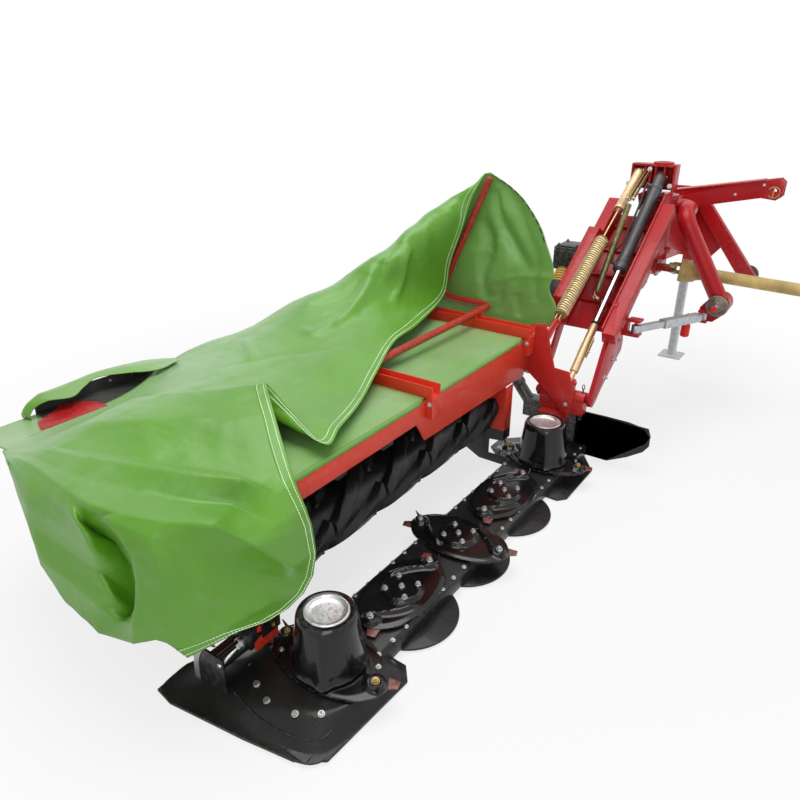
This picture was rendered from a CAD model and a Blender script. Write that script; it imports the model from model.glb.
import math

import bmesh
import bpy
import numpy as np
from mathutils import Matrix, Vector
from mathutils.geometry import convex_hull_2d


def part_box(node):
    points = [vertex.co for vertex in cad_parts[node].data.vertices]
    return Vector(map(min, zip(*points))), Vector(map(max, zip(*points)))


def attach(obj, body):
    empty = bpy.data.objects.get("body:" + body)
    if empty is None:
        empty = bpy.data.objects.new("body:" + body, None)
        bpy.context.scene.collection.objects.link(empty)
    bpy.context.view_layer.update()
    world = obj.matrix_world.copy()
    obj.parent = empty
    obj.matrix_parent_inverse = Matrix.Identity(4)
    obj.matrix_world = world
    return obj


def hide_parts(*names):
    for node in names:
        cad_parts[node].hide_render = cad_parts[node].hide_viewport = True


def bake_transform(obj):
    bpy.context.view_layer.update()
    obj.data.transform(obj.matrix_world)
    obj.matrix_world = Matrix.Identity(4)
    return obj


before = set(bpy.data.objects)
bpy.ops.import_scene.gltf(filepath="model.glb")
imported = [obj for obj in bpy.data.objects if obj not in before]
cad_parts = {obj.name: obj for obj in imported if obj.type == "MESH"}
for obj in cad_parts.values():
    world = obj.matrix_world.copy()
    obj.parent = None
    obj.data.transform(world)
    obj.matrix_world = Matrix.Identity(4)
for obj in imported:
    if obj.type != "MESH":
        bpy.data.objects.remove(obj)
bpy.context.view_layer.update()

print("frame loaded")


def newMesh(name, verts, faces, material, smooth=True):
    mesh = bpy.data.meshes.new(name)
    mesh.from_pydata([tuple(v) for v in verts], [], faces)
    mesh.validate()
    obj = bpy.data.objects.new(name, mesh)
    bpy.context.collection.objects.link(obj)
    mesh.materials.append(material)
    if smooth:
        mesh.shade_smooth()
    return obj


def tidyNormals(obj, merge=0.00005):
    bm = bmesh.new()
    bm.from_mesh(obj.data)
    bmesh.ops.remove_doubles(bm, verts=bm.verts, dist=merge)
    bmesh.ops.recalc_face_normals(bm, faces=bm.faces)
    bm.to_mesh(obj.data)
    bm.free()
    return obj


def sharpByAngle(obj, angle):
    obj.data.shade_smooth()
    obj.data.set_sharp_from_angle(angle=math.radians(angle))
    return obj


def applyModifiers(obj):
    depsgraph = bpy.context.evaluated_depsgraph_get()
    mesh = bpy.data.meshes.new_from_object(obj.evaluated_get(depsgraph))
    materials = [m for m in obj.data.materials]
    obj.modifiers.clear()
    obj.data = mesh
    if not mesh.materials:
        for material in materials:
            mesh.materials.append(material)
    return obj


def dropAttribute(obj, name):
    if name in obj.data.attributes:
        obj.data.attributes.remove(obj.data.attributes[name])


def settle(obj, body, *nodes):
    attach(obj, body)
    if nodes:
        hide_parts(*nodes)
    return obj


def joinAll(name, objs):
    verts, faces, mats, matIndex, smooth = [], [], [], [], []
    for obj in objs:
        base = len(verts)
        verts += [tuple(v.co) for v in obj.data.vertices]
        slots = []
        for material in obj.data.materials:
            if material not in mats:
                mats.append(material)
            slots.append(mats.index(material))
        for poly in obj.data.polygons:
            faces.append([base + i for i in poly.vertices])
            matIndex.append(slots[poly.material_index] if slots else 0)
            smooth.append(poly.use_smooth)
        bpy.data.objects.remove(obj)
    mesh = bpy.data.meshes.new(name)
    mesh.from_pydata(verts, [], faces)
    for material in mats:
        mesh.materials.append(material)
    mesh.polygons.foreach_set("material_index", matIndex)
    mesh.polygons.foreach_set("use_smooth", smooth)
    joined = bpy.data.objects.new(name, mesh)
    bpy.context.collection.objects.link(joined)
    mesh.set_sharp_from_angle(angle=math.radians(35))
    return joined


def spline1(values, knots, at):
    # a cubic through a row of values at their knots
    p = np.array(values, float)
    h = np.diff(knots)
    slope = np.diff(p, axis=0) / h[:, None]
    tangent = np.empty_like(p)
    tangent[1:-1] = (slope[:-1] * h[1:, None] + slope[1:] * h[:-1, None]) / (h[1:] + h[:-1])[:, None]
    tangent[0], tangent[-1] = slope[0], slope[-1]
    i = np.clip(np.searchsorted(knots, at, side="right") - 1, 0, len(h) - 1)
    t = ((at - knots[i]) / h[i])[:, None]
    return (
        (2 * t**3 - 3 * t**2 + 1) * p[i] + (t**3 - 2 * t**2 + t) * h[i][:, None] * tangent[i]
        + (3 * t**2 - 2 * t**3) * p[i + 1] + (t**3 - t**2) * h[i][:, None] * tangent[i + 1]
    )


def lengthsAlong(points):
    return np.concatenate([[0], np.cumsum(np.linalg.norm(np.diff(points, axis=0), axis=1))])


def pointsAt(lengths, run, points):
    return np.stack([np.interp(lengths, run, points[:, k]) for k in range(3)], axis=1)


def smoothPath(points, count):
    # the same cubic through 3-D points, sampled at equal lengths
    p = np.array([tuple(q) for q in points], float)
    if len(p) == 2:
        t = np.linspace(0, 1, count)[:, None]
        return p[0] + (p[1] - p[0]) * t
    knots = lengthsAlong(p)
    spans = [np.linspace(a, b, 24, endpoint=b == knots[-1]) for a, b in zip(knots, knots[1:])]
    fine = spline1(p, knots, np.concatenate(spans))
    run = lengthsAlong(fine)
    return pointsAt(np.linspace(0, run[-1], count), run, fine)


def smoothStep(value, low, high):
    t = np.clip((value - low) / (high - low), 0, 1)
    return t * t * (3 - 2 * t)


def gridNormals(grid):
    du = np.gradient(grid, axis=0)
    dv = np.gradient(grid, axis=1)
    n = np.cross(dv, du)
    length = np.linalg.norm(n, axis=2, keepdims=True)
    return n / np.maximum(length, 1e-9)


def foldSurface(grid, folds):
    # pushes the surface along its normal near each fold line
    normals = gridNormals(grid)
    push = np.zeros(grid.shape[:2])
    for line, height, width, sharp in folds:
        pts = smoothPath(line, 24)
        best = np.full(grid.shape[:2], np.inf)
        place = np.zeros(grid.shape[:2])
        for k in range(len(pts) - 1):
            a, b = pts[k], pts[k + 1]
            d = b - a
            t = np.clip(((grid - a) @ d) / (d @ d), 0, 1)
            dist = np.linalg.norm(grid - (a + t[..., None] * d), axis=2)
            nearer = dist < best
            best = np.where(nearer, dist, best)
            place = np.where(nearer, (k + t) / (len(pts) - 1), place)
        fade = np.sin(np.pi * np.clip(place, 0.0, 1.0)) ** 0.5
        shape = np.exp(-best / width) if sharp else np.exp(-((best / width) ** 2))
        push += height * shape * fade
    return grid + normals * push[..., None]


def gridFaces(rows, cols):
    return [
        (i * cols + j, i * cols + j + 1, (i + 1) * cols + j + 1, (i + 1) * cols + j)
        for i in range(rows - 1) for j in range(cols - 1)
    ]


def ringFaces(rows, count):
    # quads between rings of points, each ring closed on itself
    return [
        (i * count + k, i * count + (k + 1) % count, (i + 1) * count + (k + 1) % count, (i + 1) * count + k)
        for i in range(rows - 1) for k in range(count)
    ]


def endFaces(rows, count):
    # the first and the last ring closed with one face each
    return [tuple(range(count))[::-1], tuple((rows - 1) * count + k for k in range(count))]


def gridUv(obj, rows, cols, width, length):
    layer = obj.data.uv_layers.new(name="cloth")
    for loop in obj.data.loops:
        i, j = divmod(loop.vertex_index, cols)
        layer.data[loop.index].uv = (i / (rows - 1) * width, j / (cols - 1) * length)


def tube(name, points, radius, material, sides=16, samples=0):
    path = np.array([tuple(q) for q in points], float) if not samples else smoothPath(points, samples)
    verts = []
    forward = Vector(path[1] - path[0]).normalized()
    side = forward.orthogonal().normalized()
    for i, p in enumerate(path):
        a, b = path[max(i - 1, 0)], path[min(i + 1, len(path) - 1)]
        ahead = Vector(b - a).normalized()
        side = (side - ahead * side.dot(ahead)).normalized()
        up = ahead.cross(side)
        for k in range(sides):
            angle = 2 * math.pi * k / sides
            verts.append(Vector(p) + (side * math.cos(angle) + up * math.sin(angle)) * radius)
    faces = ringFaces(len(path), sides) + endFaces(len(path), sides)
    obj = newMesh(name, verts, faces, material)
    obj.data.set_sharp_from_angle(angle=math.radians(40))
    return obj


def lathe(name, profile, centre, axis, material, steps=48):
    # profile is (radius, height) pairs, turned round the axis
    ahead = Vector(axis).normalized()
    side = ahead.orthogonal().normalized()
    up = ahead.cross(side)
    verts, faces, rings = [], [], []
    for r, h in profile:
        if r < 1e-6:
            rings.append([len(verts)])
            verts.append(Vector(centre) + ahead * h)
            continue
        rings.append([len(verts) + k for k in range(steps)])
        for k in range(steps):
            angle = 2 * math.pi * k / steps
            verts.append(Vector(centre) + ahead * h + (side * math.cos(angle) + up * math.sin(angle)) * r)
    for a, b in zip(rings, rings[1:]):
        for k in range(steps):
            n = (k + 1) % steps
            if len(a) == 1 and len(b) == 1:
                continue
            if len(a) == 1:
                faces.append((a[0], b[k], b[n]))
            elif len(b) == 1:
                faces.append((a[k], b[0], a[n]))
            else:
                faces.append((a[k], b[k], b[n], a[n]))
    obj = newMesh(name, verts, faces, material)
    tidyNormals(obj)
    return sharpByAngle(obj, 30)


def rounded(obj, width, angle):
    edge = obj.modifiers.new("edge", "BEVEL")
    edge.width, edge.segments, edge.limit_method = width, 2, "ANGLE"
    edge.angle_limit, edge.harden_normals = math.radians(angle), False
    return applyModifiers(obj)


def plate(name, outline, axisX, axisY, origin, thickness, material, bevel=0.0015):
    # a flat plate: outline in (axisX, axisY), thickened along their cross product
    ax, ay = Vector(axisX), Vector(axisY)
    az = ax.cross(ay)
    low = [Vector(origin) + ax * x + ay * y for x, y in outline]
    verts = low + [v + az * thickness for v in low]
    n = len(outline)
    faces = [tuple(range(n))[::-1], tuple(range(n, 2 * n))]
    faces += [(k, (k + 1) % n, n + (k + 1) % n, n + k) for k in range(n)]
    obj = newMesh(name, verts, faces, material, smooth=False)
    tidyNormals(obj)
    rounded(obj, bevel, 30)
    return sharpByAngle(obj, 40)


def refined(node, name, material, body, bevel):
    # the CAD solid's own shape with its corners rounded
    obj = bpy.data.objects.new(name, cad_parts[node].data.copy())
    bpy.context.collection.objects.link(obj)
    obj.data.materials.clear()
    obj.data.materials.append(material)
    bm = bmesh.new()
    bm.from_mesh(obj.data)
    bmesh.ops.remove_doubles(bm, verts=bm.verts, dist=0.00002)
    bmesh.ops.dissolve_limit(bm, angle_limit=math.radians(1.0), verts=bm.verts, edges=bm.edges)
    bm.to_mesh(obj.data)
    bm.free()
    rounded(obj, bevel, 32)
    dropAttribute(obj, "custom_normal")
    sharpByAngle(obj, 38)
    return settle(obj, body, node)


# shader groups that more than one finish uses
def groupTree(name, inputs, outputs):
    tree = bpy.data.node_groups.new(name, "ShaderNodeTree")
    for label, kind, value in inputs:
        socket = tree.interface.new_socket(name=label, in_out="INPUT", socket_type=kind)
        socket.default_value = value
    for label, kind in outputs:
        tree.interface.new_socket(name=label, in_out="OUTPUT", socket_type=kind)
    return tree, tree.nodes.new("NodeGroupInput"), tree.nodes.new("NodeGroupOutput")


def setInputs(made, **values):
    # a blank in a socket's name is written as an underscore
    for key, value in values.items():
        made.inputs[key.replace("_", " ")].default_value = value
    return made


def objectPlace(tree):
    return tree.nodes.new("ShaderNodeTexCoord").outputs["Object"]


def splitOf(tree, source):
    made = tree.nodes.new("ShaderNodeSeparateXYZ")
    tree.links.new(source, made.inputs[0])
    return made.outputs


def ramp(tree, source, low, high, lowValue=0.0, highValue=1.0):
    made = tree.nodes.new("ShaderNodeMapRange")
    setInputs(made, From_Min=low, From_Max=high, To_Min=lowValue, To_Max=highValue)
    tree.links.new(source, made.inputs["Value"])
    return made.outputs["Result"]


def feedSockets(tree, made, pairs):
    # each socket takes a link from another node, or a plain value
    for socket, source in pairs:
        if hasattr(source, "is_output"):
            tree.links.new(source, made.inputs[socket])
        else:
            made.inputs[socket].default_value = source


def mixColour(tree, factor, a, b):
    made = tree.nodes.new("ShaderNodeMix")
    made.data_type = "RGBA"
    feedSockets(tree, made, ((0, factor), (6, a), (7, b)))
    return made.outputs[2]


def mathNode(tree, operation, a, b=0.0):
    made = tree.nodes.new("ShaderNodeMath")
    made.operation = operation
    feedSockets(tree, made, ((0, a), (1, b)))
    return made.outputs[0]


def noise(tree, coordinates, scale, detail=4.0, rough=0.55):
    made = tree.nodes.new("ShaderNodeTexNoise")
    feedSockets(tree, made, (("Vector", coordinates), ("Scale", scale), ("Detail", detail),
                             ("Roughness", rough)))
    return made.outputs["Fac"]


def buildEdgeWear():
    # a mask of rubbed corners, broken up by noise
    tree, gin, gout = groupTree(
        "edgeWear",
        [("Amount", "NodeSocketFloat", 0.5), ("Breakup", "NodeSocketFloat", 60.0)],
        [("Mask", "NodeSocketFloat")],
    )
    geometry = tree.nodes.new("ShaderNodeNewGeometry")
    sharp = ramp(tree, geometry.outputs["Pointiness"], 0.52, 0.62)
    broken = ramp(tree, noise(tree, objectPlace(tree), gin.outputs["Breakup"], 5, 0.5), 0.48, 0.62)
    mask = mathNode(tree, "MULTIPLY", mathNode(tree, "MULTIPLY", sharp, broken), gin.outputs["Amount"])
    tree.links.new(mask, gout.inputs["Mask"])
    return tree


def buildDust():
    # pale dust that lies on upward faces and in patches
    tree, gin, gout = groupTree(
        "fieldDust",
        [("Amount", "NodeSocketFloat", 0.3), ("Patch Scale", "NodeSocketFloat", 4.0)],
        [("Mask", "NodeSocketFloat")],
    )
    coords = objectPlace(tree)
    geometry = tree.nodes.new("ShaderNodeNewGeometry")
    up = ramp(tree, splitOf(tree, geometry.outputs["Normal"])["Z"], -0.2, 1.0, 0.25, 1.0)
    cloud = ramp(tree, noise(tree, coords, gin.outputs["Patch Scale"], 6, 0.62), 0.42, 0.72)
    fine = ramp(tree, noise(tree, coords, 220.0, 3.0), 0.3, 0.7, 0.6, 1.0)
    mask = mathNode(tree, "MULTIPLY", mathNode(tree, "MULTIPLY", up, cloud), fine)
    mask = mathNode(tree, "MULTIPLY", mask, gin.outputs["Amount"])
    tree.links.new(mask, gout.inputs["Mask"])
    return tree


def buildWeave():
    # the faint square weave under a coated cloth's skin
    tree, gin, gout = groupTree(
        "coatedWeave",
        [("Threads", "NodeSocketFloat", 900.0)],
        [("Height", "NodeSocketFloat"), ("Shade", "NodeSocketFloat")],
    )
    uv = tree.nodes.new("ShaderNodeUVMap")
    uv.uv_map = "cloth"
    place = splitOf(tree, uv.outputs["UV"])
    lines = [mathNode(tree, "SINE", mathNode(tree, "MULTIPLY", place[way],
                                             gin.outputs["Threads"])) for way in "XY"]
    height = mathNode(tree, "MULTIPLY", *lines)
    tree.links.new(height, gout.inputs["Height"])
    cloud = ramp(tree, noise(tree, uv.outputs["UV"], 3.0, 5.0), 0.3, 0.75)
    tree.links.new(cloud, gout.inputs["Shade"])
    return tree


edgeWear, fieldDust, coatedWeave = buildEdgeWear(), buildDust(), buildWeave()


def newMaterial(name):
    material = bpy.data.materials.new(name)
    material.use_nodes = True
    tree = material.node_tree
    return material, tree, tree.nodes["Principled BSDF"]


def useGroup(tree, group, **values):
    made = tree.nodes.new("ShaderNodeGroup")
    made.node_tree = group
    return setInputs(made, **values)


def bumpFrom(tree, shader, height, distance, strength):
    made = setInputs(tree.nodes.new("ShaderNodeBump"), Strength=strength, Distance=distance)
    tree.links.new(height, made.inputs["Height"])
    tree.links.new(made.outputs["Normal"], shader.inputs["Normal"])


dustColours = {"paint": (0.55, 0.5, 0.43, 1), "rubber": (0.3, 0.27, 0.23, 1),
               "foot": (0.008, 0.008, 0.008, 1)}


def paint(name, colour, deep, roughness, coat, wear, dust, wearColour=(0.32, 0.3, 0.28, 1), gloss=0.5,
          blackBelow=None):
    # sprayed enamel: slow shade drift, orange peel, rubbed corners, dust
    material, tree, shader = newMaterial(name)
    coords = objectPlace(tree)
    drift = ramp(tree, noise(tree, coords, 2.2, 3.0), 0.3, 0.7)
    base = mixColour(tree, drift, colour, deep)
    worn = useGroup(tree, edgeWear, Amount=wear).outputs["Mask"]
    base = mixColour(tree, worn, base, wearColour)
    dusty = useGroup(tree, fieldDust, Amount=dust).outputs["Mask"]
    base = mixColour(tree, dusty, base, dustColours["paint"])
    if blackBelow is not None:
        # the foot of the plate is black up to this height
        foot = ramp(tree, splitOf(tree, coords)["Z"], blackBelow - 0.001, blackBelow + 0.001, 1.0, 0.0)
        base = mixColour(tree, foot, base, dustColours["foot"])
    tree.links.new(base, shader.inputs["Base Color"])
    smear = ramp(tree, noise(tree, coords, 14.0, 4.0), 0.3, 0.75, roughness, roughness + 0.16)
    rough = mathNode(tree, "ADD", smear, mathNode(tree, "MULTIPLY", dusty, 0.5))
    tree.links.new(rough, shader.inputs["Roughness"])
    setInputs(shader, Specular_IOR_Level=gloss, Coat_Weight=coat, Coat_IOR=1.4, Coat_Roughness=0.08)
    bumpFrom(tree, shader, noise(tree, coords, 900.0, 2.0), 0.00012, 0.5)
    return material


def metal(name, colour, roughness=0.3, grain=0.1, stain=None, stainAmount=0.4):
    material, tree, shader = newMaterial(name)
    coords = objectPlace(tree)
    patch = ramp(tree, noise(tree, coords, 38.0, 6.0, 0.6), 0.35, 0.7, 0.0, stainAmount)
    base = mixColour(tree, patch, colour, stain or tuple(c * 0.55 for c in colour[:3]) + (1,))
    tree.links.new(base, shader.inputs["Base Color"])
    setInputs(shader, Metallic=1.0)
    smear = ramp(tree, noise(tree, coords, 120.0, 4.0), 0.3, 0.75, roughness, roughness + 0.2)
    tree.links.new(smear, shader.inputs["Roughness"])
    bumpFrom(tree, shader, noise(tree, coords, 700.0, 3.0), 0.0001, grain)
    return material


def rubber(name, colour, roughness=0.5, dust=0.35):
    material, tree, shader = newMaterial(name)
    coords = objectPlace(tree)
    drift = ramp(tree, noise(tree, coords, 9.0, 5.0), 0.3, 0.7)
    base = mixColour(tree, drift, colour, tuple(c * 1.9 for c in colour[:3]) + (1,))
    dusty = useGroup(tree, fieldDust, Amount=dust).outputs["Mask"]
    base = mixColour(tree, dusty, base, dustColours["rubber"])
    tree.links.new(base, shader.inputs["Base Color"])
    smear = ramp(tree, noise(tree, coords, 30.0, 4.0), 0.3, 0.7, roughness - 0.1, roughness + 0.15)
    tree.links.new(smear, shader.inputs["Roughness"])
    setInputs(shader, Specular_IOR_Level=0.3)
    bumpFrom(tree, shader, noise(tree, coords, 420.0, 4.0), 0.0002, 0.6)
    return material


def clothMaterial(name, colour, deep, pale, fading=0.72, frontShare=1.0):
    # vinyl-coated tarpaulin: satin skin over a fine square weave, pale scuffs
    material, tree, shader = newMaterial(name)
    coords = objectPlace(tree)
    weave = useGroup(tree, coatedWeave, Threads=3900.0)
    base = mixColour(tree, weave.outputs["Shade"], colour, deep)
    scuff = ramp(tree, noise(tree, coords, 5.0, 8.0, 0.68), 0.56, 0.74, 0.0, 0.2)
    base = mixColour(tree, scuff, base, pale)
    grazing = setInputs(tree.nodes.new("ShaderNodeLayerWeight"), Blend=0.5)
    faded = ramp(tree, grazing.outputs["Facing"], 0.22, 0.68, 0.04 * fading, fading)
    facing = splitOf(tree, tree.nodes.new("ShaderNodeNewGeometry").outputs["Normal"])
    faded = mathNode(tree, "MULTIPLY", faded, ramp(tree, facing["Z"], 0.7, 0.9, 0.18, 1.0))
    place = splitOf(tree, coords)
    faded = mathNode(tree, "MULTIPLY", faded, ramp(tree, place["Y"], 0.6, 0.95, frontShare, 1.0))
    patchy = ramp(tree, noise(tree, coords, 3.2, 6.0, 0.6), 0.3, 0.7, 0.55, 1.0)
    base = mixColour(tree, mathNode(tree, "MULTIPLY", faded, patchy), base, pale)
    tree.links.new(base, shader.inputs["Base Color"])
    tree.links.new(ramp(tree, noise(tree, coords, 7.0, 5.0), 0.3, 0.75, 0.3, 0.48),
                   shader.inputs["Roughness"])
    setInputs(shader, Specular_IOR_Level=0.4, Coat_Weight=0.3, Coat_IOR=1.45, Coat_Roughness=0.26)
    crinkle = mathNode(tree, "MULTIPLY", noise(tree, coords, 22.0, 6.0, 0.6), 6.0)
    height = mathNode(tree, "ADD", crinkle, mathNode(tree, "MULTIPLY", weave.outputs["Height"], 0.12))
    bumpFrom(tree, shader, height, 0.0009, 0.55)
    return material


tarpCloth = clothMaterial("tarpCloth", (0.115, 0.335, 0.014, 1), (0.09, 0.275, 0.012, 1),
                          (0.3, 0.47, 0.24, 1),
                          frontShare=0.22)
tarpDeck = clothMaterial("tarpDeck", (0.125, 0.345, 0.02, 1), (0.1, 0.285, 0.016, 1), (0.36, 0.5, 0.28, 1),
                         0.8)
tarpInside = clothMaterial("tarpInside", (0.2, 0.43, 0.1, 1), (0.15, 0.36, 0.065, 1), (0.3, 0.47, 0.24, 1),
                           0.25)
stitchThread = rubber("stitchThread", (0.72, 0.8, 0.62, 1), 0.6, 0.0)
frameRed = paint("frameRed", (0.74, 0.042, 0.014, 1), (0.62, 0.03, 0.011, 1), 0.36, 0.15, 0.25, 0.02,
                 gloss=0.35)
armRed = paint("armRed", (0.48, 0.006, 0.011, 1), (0.35, 0.004, 0.008, 1), 0.3, 0.14, 0.25, 0.02,
               gloss=0.25)
hoopRed = paint("hoopRed", (0.5, 0.035, 0.022, 1), (0.36, 0.024, 0.016, 1), 0.4, 0.12, 0.3, 0.05,
                (0.5, 0.3, 0.25, 1), 0.3)
sideRed = paint("sideRed", (0.7, 0.038, 0.014, 1), (0.58, 0.028, 0.011, 1), 0.36, 0.15, 0.25, 0.02,
                gloss=0.35,
                blackBelow=0.205)
yokeRed = paint("yokeRed", (0.6, 0.022, 0.014, 1), (0.42, 0.013, 0.010, 1), 0.34, 0.15, 0.3, 0.02,
                gloss=0.35)
barBlack = paint("barBlack", (0.007, 0.007, 0.007, 1), (0.012, 0.011, 0.011, 1), 0.3, 0.2, 0.35, 0.03,
                 (0.14, 0.14, 0.14, 1), 0.2)
barGloss = paint("barGloss", (0.004, 0.004, 0.0045, 1), (0.007, 0.007, 0.0075, 1), 0.1, 0.5, 0.3, 0.012,
                 (0.2, 0.2, 0.2, 1), 0.2)
rollRubber = rubber("rollRubber", (0.005, 0.005, 0.0055, 1), 0.38, 0.06)
laceBlack = rubber("laceBlack", (0.01, 0.011, 0.01, 1), 0.6, 0.0)
hoodRubber = rubber("hoodRubber", (0.015, 0.015, 0.016, 1), 0.55, 0.3)
gearGrey = paint("gearGrey", (0.035, 0.038, 0.042, 1), (0.05, 0.052, 0.056, 1), 0.4, 0.15, 0.5, 0.2)
zincGold = metal("zincGold", (0.55, 0.4, 0.17, 1), 0.34, 0.15, (0.3, 0.24, 0.12, 1), 0.7)
zincTan = metal("zincTan", (0.68, 0.49, 0.3, 1), 0.48, 0.2, (0.5, 0.36, 0.22, 1), 0.6)
springGold = metal("springGold", (0.72, 0.58, 0.34, 1), 0.36, 0.1, (0.5, 0.4, 0.22, 1), 0.5)
springCore = rubber("springCore", (0.2, 0.13, 0.06, 1), 0.6, 0.0)
springOlive = metal("springOlive", (0.4, 0.36, 0.17, 1), 0.36, 0.1, (0.16, 0.15, 0.08, 1), 0.7)
bootYellow = rubber("bootYellow", (0.42, 0.27, 0.045, 1), 0.45, 0.0)
gearBlack = paint("gearBlack", (0.022, 0.024, 0.027, 1), (0.032, 0.034, 0.038, 1), 0.4, 0.1, 0.4, 0.04,
                  gloss=0.3)
yokeOlive = metal("yokeOlive", (0.3, 0.25, 0.1, 1), 0.42, 0.25, (0.12, 0.1, 0.05, 1), 0.7)
capBrown = metal("capBrown", (0.26, 0.22, 0.18, 1), 0.45, 0.3, (0.1, 0.08, 0.07, 1), 0.7)
zincBright = metal("zincBright", (0.6, 0.61, 0.62, 1), 0.28, 0.15)
galvanised = metal("galvanised", (0.5, 0.53, 0.54, 1), 0.38, 0.3, (0.33, 0.35, 0.37, 1), 0.7)
spunAluminium = metal("spunAluminium", (0.72, 0.73, 0.74, 1), 0.3, 0.25, (0.42, 0.43, 0.45, 1), 0.6)
chromeRod = metal("chromeRod", (0.75, 0.76, 0.78, 1), 0.1, 0.05)
darkSteel = metal("darkSteel", (0.16, 0.155, 0.15, 1), 0.42, 0.3)
knifeSteel = paint("knifeSteel", (0.2, 0.028, 0.018, 1), (0.11, 0.03, 0.022, 1), 0.34, 0.1, 0.8, 0.02,
                   (0.24, 0.2, 0.18, 1))
guardKhaki = rubber("guardKhaki", (0.34, 0.25, 0.09, 1), 0.45, 0.15)
knobRed = rubber("knobRed", (0.5, 0.012, 0.014, 1), 0.3, 0.1)
print("materials made")


# each node's finish and the radius of its corners, by the body it rides on
finishes = {
    "cutter_unit": {
        "cutterbar_case": (barBlack, 0.004), "skid_plates": (barBlack, 0.003),
        "outer_shoe": (barBlack, 0.003), "inner_shoe": (barBlack, 0.003),
        "inner_divider": (barBlack, 0.002), "inner_gearbox": (gearGrey, 0.004),
        "swath_mount": (barBlack, 0.002), "conditioner_side_outer": (sideRed, 0.0015),
        "conditioner_side_inner": (sideRed, 0.0015), "front_beam": (frameRed, 0.004),
        "cover_frame": (frameRed, 0.003), "cover_channels": (frameRed, 0.0015),
        "rear_hood": (hoodRubber, 0.0015), "yoke_bracket": (yokeRed, 0.0015),
    },
    "arm": {
        "lift_arm": (armRed, 0.002), "arm_head": (armRed, 0.002), "transfer_gearbox": (gearBlack, 0.004),
        "cutter_driveshaft": (gearGrey, 0.0015),
    },
    "headstock": {
        "headstock_frame": (armRed, 0.003), "inner_leg": (armRed, 0.003), "input_boss": (armRed, 0.002),
        "kingpin": (zincBright, 0.0015), "hitch_pins": (zincBright, 0.002),
    },
    "stand": {"stand_leg": (galvanised, 0.002)},
    "link_tube": {"safety_link_tube": (galvanised, 0.002)},
    "link_rod": {"safety_link_rod": (galvanised, 0.002)},
    "spring_upper": {"spring_tube": (zincGold, 0.0015)},
}
# nodes that show as they are
plainFinishes = {"guard_hoop": hoopRed, "outer_leg": armRed}


def finishNodes():
    for body, nodes in finishes.items():
        for nodeName, (material, bevel) in nodes.items():
            first, *rest = nodeName.split("_")
            refined(nodeName, first + "".join(word.capitalize() for word in rest), material, body, bevel)
    for nodeName, material in plainFinishes.items():
        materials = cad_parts[nodeName].data.materials
        materials.clear()
        materials.append(material)


finishNodes()
print("CAD nodes finished")


# geometry node trees for repeated things
def geoTree(name, inputs):
    tree = bpy.data.node_groups.new(name, "GeometryNodeTree")
    tree.interface.new_socket(name="Geometry", in_out="INPUT", socket_type="NodeSocketGeometry")
    for label, kind, value in inputs:
        socket = tree.interface.new_socket(name=label, in_out="INPUT", socket_type=kind)
        if value is not None:
            socket.default_value = value
    tree.interface.new_socket(name="Material", in_out="INPUT", socket_type="NodeSocketMaterial")
    tree.interface.new_socket(name="Geometry", in_out="OUTPUT", socket_type="NodeSocketGeometry")
    return tree, tree.nodes.new("NodeGroupInput"), tree.nodes.new("NodeGroupOutput")


def geoEnd(tree, gin, gout, geometry):
    # every tree ends in real, painted geometry
    real = tree.nodes.new("GeometryNodeRealizeInstances")
    tree.links.new(geometry, real.inputs["Geometry"])
    finish = tree.nodes.new("GeometryNodeSetMaterial")
    tree.links.new(real.outputs["Geometry"], finish.inputs["Geometry"])
    tree.links.new(gin.outputs["Material"], finish.inputs["Material"])
    tree.links.new(finish.outputs["Geometry"], gout.inputs["Geometry"])
    return tree


def feed(tree, gin, target, **sockets):
    # links the tree's named inputs to a node's sockets; a blank is written as an underscore
    for socket, label in sockets.items():
        tree.links.new(gin.outputs[label], target.inputs[socket.replace("_", " ")])


def placed(tree, points, instance, way):
    # the instance on each point, its height turned along the way
    align = tree.nodes.new("FunctionNodeAlignRotationToVector")
    align.axis = "Z"
    tree.links.new(way, align.inputs["Vector"])
    place = tree.nodes.new("GeometryNodeInstanceOnPoints")
    tree.links.new(points, place.inputs["Points"])
    tree.links.new(instance, place.inputs["Instance"])
    tree.links.new(align.outputs["Rotation"], place.inputs["Rotation"])
    return place.outputs["Instances"]


def geoCylinder(tree, gin, sides, radius, depth, lift=None):
    # a cylinder standing on z = 0, or lifted by a named input
    made = tree.nodes.new("GeometryNodeMeshCylinder")
    made.inputs["Vertices"].default_value = sides
    feed(tree, gin, made, Radius=radius, Depth=depth)
    half = mathNode(tree, "MULTIPLY", gin.outputs[depth], 0.5)
    if lift:
        half = mathNode(tree, "ADD", half, gin.outputs[lift])
    up = tree.nodes.new("ShaderNodeCombineXYZ")
    tree.links.new(half, up.inputs["Z"])
    move = tree.nodes.new("GeometryNodeTransform")
    tree.links.new(made.outputs["Mesh"], move.inputs["Geometry"])
    tree.links.new(up.outputs[0], move.inputs["Translation"])
    return move.outputs["Geometry"]


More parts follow.
